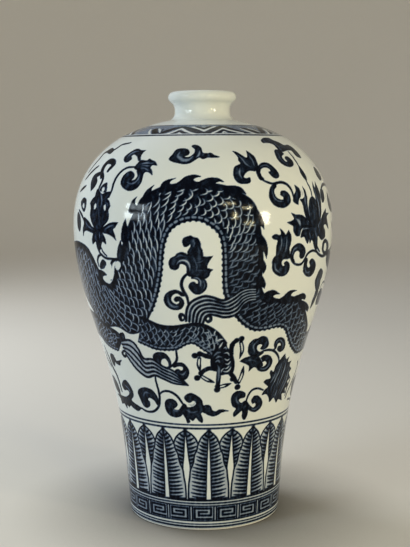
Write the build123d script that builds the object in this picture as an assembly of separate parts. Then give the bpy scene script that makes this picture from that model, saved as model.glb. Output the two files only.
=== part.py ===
from build123d import *
import os
from math import radians, tan

# A porcelain meiping vase, in millimetres, +Z up, with its origin at the middle of the
# foot on the surface that the vase stands on. Every piece is turned round the Z axis, so
# each is drawn as a half section in the XZ plane and revolved. The clay is thrown in five
# sections that are luted together with slip, and a thin coat of glaze covers the outside
# and the inside. The heights are stacked: foot to belly, belly to the end of the shoulder,
# then the rounds and the straight of the neck up to the lip, 420 mm above the foot.

# Outside of the glaze
foot_radius = 75.8
foot_lean = 0.09
belly_radius = 128.6
belly_height = 286.0
shoulder_rise = 105.8
shoulder_end_radius = 34.2
shoulder_end_slope = 0.16
neck_radius = 27.2
neck_straight = 2.3
under_lip_round = 9.0
lip_radius = 33.6
lip_round = 5.6

# Walls and coats
foot_wall = 8.6
belly_wall = 6.4
neck_wall = 5.2
outer_coat = 0.5
inner_coat = 0.35
glaze_stop_height = 1.6

# Foot and floor
floor_height = 13.0
floor_flat_radius = 48.0
recess_depth = 3.4
foot_ring_width = 9.5
foot_bevel = 0.9
recess_flare = 1.5

# Luted joints between the thrown sections
slip_thickness = 1.2
joint_lean_degrees = 12.0
foot_joint_rise = 21.0
lower_joint_share = 0.525
belly_joint_share = 0.98

overrun = 20.0

# Points of the outside below the belly, as shares of the rise and of the spread from the
# foot, then above it, as shares of the rise and of the narrowing to the shoulder's end
lower_shares = [(0.178, 0.075), (0.395, 0.235), (0.608, 0.530), (0.812, 0.862)]
shoulder_shares = [(0.25, 0.024), (0.49, 0.119), (0.74, 0.340), (0.872, 0.559), (0.945, 0.768)]
# Places up the side and up the inside of the wall, as shares of them, where a coat or the
# wall is measured
coat_place_shares = [step / 14 for step in range(15)]
wall_place_shares = [0.12, 0.21, 0.30, 0.39, 0.48, 0.57, 0.66, 0.74, 0.81, 0.87, 0.93, 1.0]
floor_coat_place_shares = [0.0, 0.03, 0.06]
# The place of the belly along the side, as a share of it
belly_place_share = 0.66
# A long curve is turned in this many stretches
stretch_count = 8


def point(radius, height):
    """A point of the half section."""
    return Vector(radius, 0, height)


def between(start, end, share):
    """The value at a share of the way from one value to another."""
    return start + (end - start) * share


def smooth_curve(points, start_direction, end_direction):
    """A curve through points, with its directions at both ends."""
    return Spline(points, tangents=[start_direction, end_direction], tangent_scalars=[1, 1])


def stretches(curve):
    """The same curve cut into stretches, each of which turns into a face of its own."""
    cuts = [step / stretch_count for step in range(stretch_count + 1)]
    return [curve.trim(start, end) for start, end in zip(cuts, cuts[1:])]


def inset_point(curve, place, depth):
    """The point a depth to the left of a curve, which is inward on one that runs up."""
    direction = curve % place
    return curve @ place + Vector(-direction.Z, 0, direction.X) * depth


def inset_curve(curve, places, depth):
    """A curve that keeps a depth to the left of another one."""
    points = [inset_point(curve, place, depth) for place in places]
    return smooth_curve(points, curve % places[0], curve % places[-1])


def shoulder_end():
    """Where the shoulder turns up into the neck."""
    return point(shoulder_end_radius, belly_height + shoulder_rise)


def side_curve():
    """The outside of the glaze, from its lower edge to the end of the shoulder."""
    points = [point(foot_radius, glaze_stop_height)]
    for rise, spread in lower_shares:
        points.append(point(between(foot_radius, belly_radius, spread), belly_height * rise))
    points.append(point(belly_radius, belly_height))
    for rise, narrowing in shoulder_shares:
        radius = between(belly_radius, shoulder_end_radius, narrowing)
        points.append(point(radius, belly_height + shoulder_rise * rise))
    points.append(shoulder_end())
    return smooth_curve(points, point(foot_lean, 1), point(-1, shoulder_end_slope))


def wall_curve(side):
    """The inside of the clay, from the flat of the floor to the end of the shoulder."""
    points = [point(floor_flat_radius, floor_height)]
    for place in wall_place_shares:
        if place < belly_place_share:
            wall = between(foot_wall, belly_wall, place / belly_place_share)
        else:
            above_belly = (place - belly_place_share) / (1 - belly_place_share)
            wall = between(belly_wall, neck_wall, above_belly)
        points.append(inset_point(side, place, outer_coat + wall))
    return smooth_curve(points, point(1, 0), side % 1)


def root_centre():
    """The centre of the hollow round that turns the shoulder up into the neck."""
    slope = Vector(-1, 0, shoulder_end_slope).normalized()
    root_round = (shoulder_end_radius - neck_radius) / (1 - slope.Z)
    return Vector(neck_radius + root_round, 0, shoulder_end().Z - slope.X * root_round)


def under_lip_centre():
    """The centre of the hollow round below the lip, above the straight of the neck."""
    return point(neck_radius + under_lip_round, root_centre().Z + neck_straight)


def lip_centre():
    """The centre of the outer round of the lip, which the round below it runs on into."""
    under_lip = under_lip_centre()
    radius = lip_radius - lip_round
    reach = under_lip_round + lip_round
    return point(radius, under_lip.Z + (reach**2 - (radius - under_lip.X) ** 2) ** 0.5)


def crest(depth):
    """The top of the lip, a depth inside the outside of the glaze."""
    return lip_centre() + point(0, lip_round - depth)


def root_arc(depth):
    """The round from the shoulder up into the neck, a depth inside the outside."""
    centre = root_centre()
    away = shoulder_end() - centre
    start = centre + away.normalized() * (away.length + depth)
    end = point(neck_radius - depth, centre.Z)
    return TangentArc(start, end, tangent=point(-1, shoulder_end_slope))


def neck_edges(depth):
    """The neck from its root to the crest of the lip, a depth inside the outside."""
    under_lip = under_lip_centre()
    towards_lip = (lip_centre() - under_lip).normalized()
    root = root_arc(depth)
    straight = Line(root @ 1, point(neck_radius - depth, under_lip.Z))
    turn = under_lip + towards_lip * (under_lip_round + depth)
    under_lip_arc = TangentArc(straight @ 1, turn, tangent=point(0, 1))
    lip_arc = TangentArc(turn, crest(depth), tangent=point(towards_lip.Z, -towards_lip.X))
    return [root, straight, under_lip_arc, lip_arc]


def bore_radius():
    """The inside of the mouth, with its glaze."""
    return neck_radius - neck_wall - 2 * outer_coat


def mouth_edges(depth):
    """The inner round of the lip and the straight of the mouth, behind a depth of coat."""
    inner_round = lip_centre().X - bore_radius()
    bore_top = point(bore_radius() + depth, crest(0).Z - inner_round)
    bore_foot = point(bore_radius() + depth, root_centre().Z)
    return [TangentArc(crest(depth), bore_top, tangent=point(-1, 0)), Line(bore_top, bore_foot)]


def inner_root_arc(coat):
    """The round that turns the inside of the wall up into the mouth, behind a coat."""
    return root_arc(outer_coat + neck_wall + coat)


def clay_profile(clay_side, wall):
    """The half section of the whole fired body, before it is cut into its sections."""
    foot = clay_side @ 0
    ring_inside = foot.X - foot_ring_width
    edges = [
        Line(point(0, recess_depth), point(ring_inside - recess_flare, recess_depth)),
        Line(point(ring_inside - recess_flare, recess_depth), point(ring_inside, 0)),
        Line(point(ring_inside, 0), point(foot.X - foot_bevel, 0)),
        Line(point(foot.X - foot_bevel, 0), point(foot.X, foot_bevel)),
        Line(point(foot.X, foot_bevel), foot),
        *stretches(clay_side),
        *neck_edges(outer_coat),
        *mouth_edges(outer_coat),
        inner_root_arc(0),
        *stretches(wall),
        Line(wall @ 0, point(0, floor_height)),
        Line(point(0, floor_height), point(0, recess_depth)),
    ]
    return make_face(edges)


def outer_glaze_profile(side, clay_side):
    """The coat outside, over the lip and down the straight of the mouth."""
    mouth_inside = mouth_edges(0)
    mouth_clay = mouth_edges(outer_coat)
    edges = [
        *stretches(side),
        *neck_edges(0),
        *mouth_inside,
        Line(mouth_inside[-1] @ 1, mouth_clay[-1] @ 1),
        *mouth_clay,
        *neck_edges(outer_coat),
        *stretches(clay_side),
        Line(clay_side @ 0, side @ 0),
    ]
    return make_face(edges)


def inner_glaze_profile(wall):
    """The coat on the floor and the walls, up to the foot of the mouth's bore."""
    surface = inset_curve(wall, floor_coat_place_shares + wall_place_shares, inner_coat)
    wall_root = inner_root_arc(0)
    surface_root = inner_root_arc(inner_coat)
    edges = [
        *stretches(wall),
        wall_root,
        Line(wall_root @ 1, surface_root @ 1),
        surface_root,
        *stretches(surface),
        Line(surface @ 0, point(0, floor_height + inner_coat)),
        Line(point(0, floor_height + inner_coat), point(0, floor_height)),
        Line(point(0, floor_height), wall @ 0),
    ]
    return make_face(edges)


def radius_at(curve, height):
    """The radius where a curve that climbs all the way passes a height."""
    low, high = 0.0, 1.0
    while high - low > 1e-9:
        middle = (low + high) / 2
        if (curve @ middle).Z < height:
            low = middle
        else:
            high = middle
    return (curve @ low).X


def joint_line(reference, height):
    """The ends, at the axis and past the belly, of a leaning joint at a radius and height."""
    lean = tan(radians(joint_lean_degrees))
    reach = belly_radius + overrun
    return (
        point(0, height - reference * lean),
        point(reach, height + (reach - reference) * lean),
    )


def band(profile, lower_line, upper_line):
    """The stretch of the half section between two lines."""
    corners = [lower_line[0], lower_line[1], upper_line[1], upper_line[0]]
    return profile & make_face(Polyline(corners, close=True))


def turned(profile):
    """The solid that a half section sweeps round the axis."""
    return revolve(profile, axis=Axis.Z)


def clay_pieces(profile, clay_side):
    """The five thrown sections and the four rings of slip between them."""
    foot_joint = floor_height + foot_joint_rise
    lower_joint = belly_height * lower_joint_share
    belly_joint = belly_height * belly_joint_share
    joints = [
        ("foot_slip_joint", radius_at(clay_side, foot_joint), foot_joint),
        ("lower_slip_joint", radius_at(clay_side, lower_joint), lower_joint),
        ("belly_slip_joint", radius_at(clay_side, belly_joint), belly_joint),
        ("neck_slip_joint", neck_radius, root_centre().Z + neck_straight / 2),
    ]
    sections = ["foot_and_floor", "lower_section", "belly_section", "shoulder_section", "mouth_and_neck"]
    reach = belly_radius + overrun
    top = crest(0).Z + overrun
    below = (point(0, -overrun), point(reach, -overrun))
    above = (point(0, top), point(reach, top))
    pieces = {}
    for (joint_name, reference, height), section_name in zip(joints, sections):
        under_slip = joint_line(reference, height - slip_thickness / 2)
        over_slip = joint_line(reference, height + slip_thickness / 2)
        pieces[section_name] = turned(band(profile, below, under_slip))
        pieces[joint_name] = turned(band(profile, under_slip, over_slip))
        below = over_slip
    pieces[sections[-1]] = turned(band(profile, below, above))
    return pieces


def build():
    """Every piece of the vase by name."""
    side = side_curve()
    clay_side = inset_curve(side, coat_place_shares, outer_coat)
    wall = wall_curve(side)
    pieces = clay_pieces(clay_profile(clay_side, wall), clay_side)
    pieces["outer_glaze"] = turned(outer_glaze_profile(side, clay_side))
    pieces["inner_glaze"] = turned(inner_glaze_profile(wall))
    return pieces


os.makedirs("parts", exist_ok=True)
for name, piece in build().items():
    piece.label = name
    export_step(piece, f"parts/{name}.step")
    print(name, round(piece.volume))
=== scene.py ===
import math

import bpy
import numpy as np
from mathutils import Matrix, Vector


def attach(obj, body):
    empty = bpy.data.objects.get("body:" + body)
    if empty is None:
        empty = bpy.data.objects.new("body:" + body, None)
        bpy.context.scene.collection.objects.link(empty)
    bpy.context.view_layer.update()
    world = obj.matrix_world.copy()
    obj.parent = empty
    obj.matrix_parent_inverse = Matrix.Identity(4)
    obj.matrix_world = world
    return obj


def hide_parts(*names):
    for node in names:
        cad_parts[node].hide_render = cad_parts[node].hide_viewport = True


# The looks of a meiping vase: the painted glaze outside, the plain glaze of the neck and
# the inside, and the bare foot. The painting is a field of cobalt, from 0 for bare glaze
# to 1 for the thickest, held by the vertices of the glaze's skin. It is laid on with brush
# strokes and washes. What the photograph shows is placed by its frame, in pixels. What is
# out of its sight is placed by a flat drawing of the back, in millimetres across and up, or
# is a part of the front that is turned round the vase. What goes right round is placed by
# angle (degrees, 0 at the front, + to the right) and by height above the foot. Widths,
# heights and soft edges of the painting are in millimetres, and a share is of the size that
# its name or comment says.

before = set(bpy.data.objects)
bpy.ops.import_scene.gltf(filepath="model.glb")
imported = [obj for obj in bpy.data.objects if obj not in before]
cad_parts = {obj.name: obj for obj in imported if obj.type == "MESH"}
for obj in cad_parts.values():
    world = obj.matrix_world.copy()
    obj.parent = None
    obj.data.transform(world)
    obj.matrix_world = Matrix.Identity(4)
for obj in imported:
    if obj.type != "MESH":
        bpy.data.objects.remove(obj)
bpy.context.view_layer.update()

MM = 0.001

# The photograph's frame and the camera that took it
PHOTO_WIDTH = 410
PHOTO_HEIGHT = 547
FOCAL_PIXELS = 1021.67
SENSOR_MM = 36.0
CAMERA_DISTANCE = 1.02166
CAMERA_HEIGHT = 0.35582
CAMERA_PITCH = 0.1133
CAMERA_ROLL = math.radians(0.33)
AXIS_SHIFT_PIXELS = 1.83
# How far off the camera a line of sight is followed to the skin, and in how many steps
SIGHT_NEAR = 0.80
SIGHT_FAR = 1.25
SIGHT_STEPS = 900

# The skin's mesh
COLUMNS = 1200
PANELS = ("front", "right", "back", "left")
PAINTED_STEP = 0.64 * MM
PLAIN_STEP = 0.9 * MM
PAINTED_TOP = 391.0 * MM
# How far off its plane the seam's vertices may lie, and the digits that tell them apart
SEAM_SLACK = 1e-7
SEAM_DIGITS = 6

# The brush: its soft edge, and how far beyond it a wash is worked out. A brush in the tables
# below has a tone and, where it has its own, a width, the shares of it that a line's ends
# narrow to (taper), a soft edge and a strength
EDGE = 0.7
WASH_MARGIN = 0.5
# How many steps a curve takes from one of its points to the next: shapes, small marks, the
# dragon's long lines, and its finest ones
SHAPE_STEPS = 4
MARK_STEPS = 3
LINE_STEPS = 5
FINE_STEPS = 6
# How far off a place counts where nothing comes near it, and the least length, and the least
# square of one, that a sum divides by
FAR_OFF_MM = 1000.0
TINY_MM = 1e-6
TINY_SQUARE_MM = 1e-9
# How far a dot's line runs on, in the units of its drawing, and a knob's, which is smaller
DOT_RUN = 0.1
KNOB_RUN = 1e-4

# The lines round the vase: height, width and tone, and how their tone drifts round it
FOOT_LINES = ((3.7, 1.7, 0.92), (6.4, 1.2, 0.85))
BASE_LINES = ((9.6, 1.3, 0.9), (24.8, 1.4, 0.9), (27.4, 1.6, 0.8), (30.4, 1.9, 0.95))
DOUBLE_LINES = ((103.0, 1.6, 0.85), (106.6, 1.4, 0.85))
RING_EDGE = 0.8
RING_DRIFT = 0.12
RING_WAVES = 5
RING_DEGREES_A_MM = 40

# The key fret above the foot
FRET_LOW = 10.0
FRET_HIGH = 24.0
FRET_UNITS = 21
FRET_START = 7.6
FRET_WASH = 0.22
FRET_BRUSH = dict(width=2.0, tone=1.0)
# The bars between the units: how far apart in a pair, and the slit that shows between them
FRET_BAR_ANGLE = 0.95
FRET_BAR_BRUSH = dict(width=1.5, tone=1.0)
FRET_SLIT_INSET = 1.0
FRET_SLIT_BRUSH = dict(width=0.9, tone=0.12)
# A spiral's turns, as shares of a unit's half width to the side and of the fret's height
FRET_SPIRAL_SHARES = (
    (-0.70, 0.12), (0.70, 0.12), (0.70, 0.88), (-0.66, 0.88), (-0.66, 0.38), (0.36, 0.38), (0.36, 0.63),
    (-0.32, 0.63),
)

# The lappets: their edges as shares of their height and of their half width, and their
# ribs as shares of their height with half widths
LAPPET_LOW = 31.4
LAPPET_HIGH = 101.4
LAPPETS = 12
LAPPET_START = 3.0
LAPPET_HALF = 14.4
LAPPET_SHARES = (
    (0.0, 1.02), (0.12, 1.01), (0.22, 0.99), (0.31, 0.94), (0.38, 0.915), (0.43, 0.885), (0.50, 0.785),
    (0.55, 0.735), (0.60, 0.71), (0.66, 0.665), (0.72, 0.57), (0.78, 0.53), (0.86, 0.425), (0.91, 0.33),
    (0.95, 0.20), (0.98, 0.10),
)
LAPPET_RIB = ((0.0, 2.1), (0.5, 1.3), (0.88, 0.1))
LAPPET_VEINS = 18
BACK_LAPPET_HALF = 8.6
BACK_LAPPET_SHARES = (
    (0.0, 0.75), (0.3, 0.75), (0.5, 0.82), (0.62, 0.96), (0.72, 1.0), (0.80, 0.98), (0.88, 0.80),
    (0.94, 0.52), (0.98, 0.22),
)
BACK_LAPPET_RIB = ((0.0, 4.2), (0.48, 3.0), (0.60, 1.9), (0.90, 0.2))
BACK_LAPPET_VEINS = 17
FRONT_LAPPET = (LAPPET_HALF, LAPPET_SHARES, LAPPET_RIB, LAPPET_VEINS)
BACK_LAPPET = (BACK_LAPPET_HALF, BACK_LAPPET_SHARES, BACK_LAPPET_RIB, BACK_LAPPET_VEINS)
LAPPET_WASH = 0.13
LAPPET_RIM = 1.4
LAPPET_EDGE = 0.5
# The shade beside a rib, and the dark edge and the bare middle of the rib
RIB_REACH = 9.0
RIB_SHADE = 5.5
RIB_SHADE_TONE = 0.80
RIB_SHADE_STRENGTH = 0.75
RIB_RIM = 0.9
RIB_EDGE = 0.6
# The tip: from what share of the height it is dark
TIP_SHARE = 0.86
TIP_BRUSH = dict(width=3.6, tone=0.9, taper=(0.6, 0.9), soft=2.0, strength=0.9)
# The veins: where the first one starts and the span of all, how much higher they end than
# they start, how far above its start the leaf's width is read for one, how unsteady they
# are, the place of their bend, how far across they reach, and their brushes
VEIN_FIRST_SHARE = 0.015
VEIN_SPAN_SHARE = 0.93
VEIN_SLANT_SHARE = 0.030
VEIN_SLANT_GAIN_SHARE = 0.025
VEIN_WIDTH_AHEAD_SHARE = 0.04
VEIN_SWAY_SHARE = 0.004
VEIN_BEND_ACROSS_SHARE = 0.44
VEIN_BEND_UP_SHARE = 0.35
VEIN_REACH_SHARES = (0.76, 0.86)
VEIN_SHADE_BRUSH = dict(width=3.4, tone=0.40, taper=(1.0, 0.3), soft=1.4, strength=0.35)
VEIN_BRUSH = dict(width=2.2, tone=1.0, taper=(1.0, 0.25), soft=0.8)

# The collar's band, where its unit repeats, and the lines at its edges
COLLAR_LOW = 376.3
COLLAR_HIGH = 385.9
COLLAR_TURNS = (0.0, 79.0, 173.0, 266.0)
COLLAR_WASH = 0.34
COLLAR_GAP = 0.9
COLLAR_SHAPE = dict(taper=(0.8, 0.8), soft=1.0)
COLLAR_LINES = ((COLLAR_LOW, 2.6, 0.8), (COLLAR_HIGH, 1.6, 0.7), (COLLAR_LOW + COLLAR_GAP, 1.8, 0.04))

# Leaves, stems and the paler places in them
LEAF_TONE = 0.84
LEAF_RIM = 1.3
STEM_SHAPE = dict(tone=0.97, taper=(0.6, 0.6))
STREAK_WIDENING = 1.5
STREAK_SHAPE = dict(taper=(0.2, 0.2), soft=1.0, strength=0.85)

# The radius at which the back's flat drawing is laid round the vase, and the hand's seed
BACK_RADIUS = 122.0
HAND_SEED = 7
# The waves by which the ink has pooled: how many, how often round the vase at the least and
# the most, how fast up it, and how far they swing the ink
POOL_WAVES = 60
POOL_TURNS = (20, 150)
POOL_RISE = 0.45
POOL_MIDDLE = 0.97
POOL_SWING = 0.09
POOL_LIMITS = (0.72, 1.08)

# A scale's edge from the belly's side to the back's, as shares of its length ahead and of its
# half width to the side, by the share of the body's length from the head
ROUND_SCALE_SHARES = (
    (0.10, 0.98), (0.34, 0.66), (0.46, 0.24), (0.40, -0.18), (0.16, -0.62), (-0.22, -0.98),
)
RISING_SCALE_SHARES = (
    (-0.62, 0.88), (-0.32, 0.85), (0.0, 0.71), (0.27, 0.44), (0.44, 0.06), (0.48, -0.40),
)
TOP_SCALE_SHARES = (
    (0.20, 0.84), (0.46, 0.56), (0.58, 0.18), (0.52, -0.20), (0.28, -0.58), (-0.10, -0.86),
)
FLAT_SCALE_SHARES = (
    (-0.12, 0.95), (-0.12, 0.55), (0.0, 0.15), (0.06, -0.25), (0.08, -0.65), (-0.25, -1.0),
)
REAR_SCALE_SHARES = (
    (-0.25, 0.95), (0.22, 0.62), (0.42, 0.15), (0.36, -0.30), (0.10, -0.70), (-0.30, -0.98),
)
SCALE_SHARES = (
    (0.33, ROUND_SCALE_SHARES), (0.43, RISING_SCALE_SHARES), (0.49, RISING_SCALE_SHARES),
    (0.575, TOP_SCALE_SHARES), (0.63, FLAT_SCALE_SHARES), (0.70, FLAT_SCALE_SHARES),
    (0.75, REAR_SCALE_SHARES),
)
# How much wider a scale is than long, and the gap between rows as a share of its length
SCALE_WIDENING = 1.22
SCALE_ROW_SHARE = 0.5
# How unsteady the hand is: along the body, across it, and in tone
SCALE_SHIFT_SHARE = 0.08
SCALE_SWAY_SHARE = 0.10
SCALE_TONE_SWAY = 0.05
DARKEST_SCALE_EDGE = 0.7
# The soft shade at a scale's edge and the pale line over it, as wide as a share of its length
SCALE_SHADE_SHARE = 0.26
SCALE_SHADE_BRUSH = dict(tone=0.62, taper=(0.2, 0.3), soft=1.4, strength=0.4)
SCALE_LINE_SHARE = 0.14
SCALE_LINE_SHAPE = dict(taper=(0.3, 0.2))
# How far towards the belly the scales reach, by the same share; beyond them is the beaded edge
SCALE_REACH = ((0.20, 0.86), (0.25, 0.97), (0.375, 0.97), (0.405, 0.86))
BEADED_REACH = 0.90
LEG_REACH = ((0.0, 0.84), (1.0, 0.84))
# How pale the scales' edges are, by the share of the body's length from the head
BODY_TONE_SHARES = (
    (0.0, 0.24), (0.30, 0.20), (0.42, 0.06), (0.58, 0.06), (0.63, 0.38), (0.74, 0.42), (0.80, 0.20),
    (1.0, 0.22),
)
LEG_TONE_SHARES = ((0.0, 0.22), (1.0, 0.12))
# A scaly length: its wash, its scales, its beads and the line along its back
BODY_LOOK = {
    "tone": 0.95,
    "scale": 9.0,
    "low_share": 0.07,
    "reach": SCALE_REACH,
    "tones": BODY_TONE_SHARES,
    "bead_step": 5.2,
    "bead_depth": 3.3,
    "back_line": 2.2,
}
LEG_LOOK = {
    "tone": 0.92,
    "scale": 6.8,
    "low_share": 0.10,
    "reach": LEG_REACH,
    "tones": LEG_TONE_SHARES,
    "bead_step": 4.2,
    "bead_depth": 2.6,
    "back_line": 2.0,
}
FILL_STRETCH = 30
# The beads' half length and width, and the knobs' width, as shares of the step between them
BEAD_HALF_SHARE = 0.22
BEAD_WIDTH_SHARE = 0.42
BEAD_BRUSH = dict(tone=0.32, soft=0.9)
KNOB_WIDTH_SHARE = 0.60
KNOB_DEPTH = 0.8

# Locks of hair, and the toes, claws and knobs of a foot
TUFT_WASH = 0.16
LOCK_BRUSH = dict(width=2.3, tone=0.97, taper=(0.9, 0.5))
CLAW_BRUSH = dict(width=3.9, tone=1.0, taper=(0.85, 0.15), soft=0.6)
CLAW_HOLLOW_BRUSH = dict(width=1.9, tone=0.02, taper=(0.8, 0.15), soft=0.6)
FINGER_BRUSH = dict(width=4.2, tone=1.0, taper=(0.9, 0.9))
KNUCKLE_BRUSH = dict(width=5.6, tone=1.0)
FOOT_KNOB_BRUSH = dict(width=4.8, tone=1.0)
PALM_TONE = 0.97
TOUCH_TAPER = (0.4, 0.4)

# The flames along the back: where a row starts and ends, measured from the head or from the
# tail's tip, the step between them and their reach, and a flame's outline as shares of the
# step ahead and of the reach, with the minus sign outwards
NECK_FLAME_ENDS = (36.0, 150.0)
NECK_FLAME_STEP = 22.0
NECK_FLAME_REACH = 11.0
TAIL_FLAME_ENDS = (130.0, 10.0)
TAIL_FLAME_STEP = 18.0
TAIL_FLAME_REACH = 8.0
FLAME_SHARES = (
    (-0.55, 0.10), (-0.30, -0.35), (0.15, -0.80), (0.75, -1.0), (0.75, -1.0), (0.45, -0.55), (0.55, 0.10),
)
ROW_FLAME_TONE = 0.95
FLAME_TONE = 0.93
HEAD_TONE = 0.95
SHOULDER_CURL_BRUSH = dict(width=2.6, tone=1.0)
SHOULDER_EYE_TONE = 0.02

# The glaze over the painting: its colour by how much cobalt there is, and its gloss, which
# the cobalt dulls
GLAZE_STOPS = (
    (0.0, (0.610, 0.650, 0.645)), (0.10, (0.375, 0.425, 0.475)), (0.22, (0.190, 0.240, 0.320)),
    (0.38, (0.080, 0.115, 0.185)), (0.58, (0.022, 0.038, 0.074)), (0.74, (0.005, 0.011, 0.025)),
    (0.90, (0.001, 0.002, 0.006)),
)
GLAZE_ROUGHNESS = 0.09
GLAZE_IOR = 1.33
GLAZE_SPECULAR = 0.5
COBALT_SPECULAR = -0.34
# The cobalt's grain in cycles a metre, and what it takes and gives; then the relief
GRAIN_SCALE = 900.0
GRAIN_DETAIL = 3.0
GRAIN_LEAST = 0.7
GRAIN_SWING = 0.6
RELIEF_SCALE = 260.0
RELIEF_DETAIL = 1.0
COBALT_RELIEF = 0.5
GLAZE_RELIEF = 0.00008
# The plain ceramics: a colour, the colour it drifts to, roughness, coat, and cycles a metre
BISCUIT = ((0.86, 0.86, 0.84), (0.82, 0.81, 0.78), 0.62, 0.0, 45.0)
SLIP = ((0.66, 0.62, 0.56), (0.60, 0.55, 0.48), 0.7, 0.0, 60.0)
INNER_GLAZE = ((0.58, 0.61, 0.58), (0.53, 0.55, 0.50), 0.25, 0.5, 25.0)
DRIFT_DETAIL = 4.0
PLAIN_RELIEF_DETAIL = 2.0
DRIFT_PLACES = (0.35, 0.7)
PLAIN_RELIEF_SCALES = 20
PLAIN_RELIEF = 0.00005
COAT_ROUGHNESS = 0.05
BUMP_STRENGTH = 0.5

# The stage: a round floor that bends up into a wall
FLOOR_RADIUS = 2.8
BEND_RADIUS = 1.2
BEND_STEPS = 16
WALL_HEIGHT = 3.4
STAGE_SIDES = 96
STAGE_ROUGHNESS = 0.85
# Its colour, by the distance from its middle in shares of the floor's radius
STAGE_STOPS = (
    (0.040, (0.600, 0.585, 0.552)), (0.450, (0.610, 0.592, 0.558)), (1.000, (0.800, 0.765, 0.700)),
)
# How far off a piece the painted contact shadow darkens the floor's colour beside it, and how strongly
CONTACT_SHADOW_DISTANCE = 0.13
CONTACT_SHADOW_POWER = 1.7

# The lamps: where each stands, what it faces, its sides, its watts and its colour
VASE_MIDDLE = (0, 0, 0.22)
DAYLIGHT = (0.80, 0.93, 1.0)
HIGH_GLINT = (1.0, 0.88, 0.52)
LOW_GLINT = (1.0, 0.87, 0.46)
LAMPS = {
    "left_window_upper": ((-1.60, -0.98, 0.84), VASE_MIDDLE, (0.75, 0.17), 7.6, DAYLIGHT),
    "left_window_lower": ((-1.60, -0.98, 0.58), VASE_MIDDLE, (0.75, 0.17), 7.2, DAYLIGHT),
    "left_window_side": ((-1.15, 0.85, 1.10), (0, 0, 0.05), (0.90, 0.70), 18.0, (0.94, 0.98, 1.0)),
    "right_lamp": ((1.34, -1.02, 0.50), VASE_MIDDLE, (0.24, 0.28), 9.0, (1.0, 0.87, 0.64)),
    "garden_glint_high": ((0.60, -1.43, 0.92), VASE_MIDDLE, (0.30, 0.03), 2.0, HIGH_GLINT),
    "garden_glint_side": ((0.98, -1.26, 0.78), VASE_MIDDLE, (0.26, 0.03), 2.0, HIGH_GLINT),
    "garden_glint_middle": ((0.70, -1.40, 0.58), VASE_MIDDLE, (0.10, 0.14), 2.0, LOW_GLINT),
    "garden_glint_low": ((1.00, -1.26, 0.40), VASE_MIDDLE, (0.22, 0.05), 2.0, LOW_GLINT),
    "overhead": ((-0.3, 0.8, 1.9), (0, 0.15, 0), (1.2, 1.2), 2.0, (1.0, 0.99, 0.96)),
}
# The lamp whose light the vase takes without mirroring it
UNMIRRORED_LAMP = "left_window_side"
WORLD_COLOUR = (1.0, 0.99, 0.97)
WORLD_STRENGTH = 0.33

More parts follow.
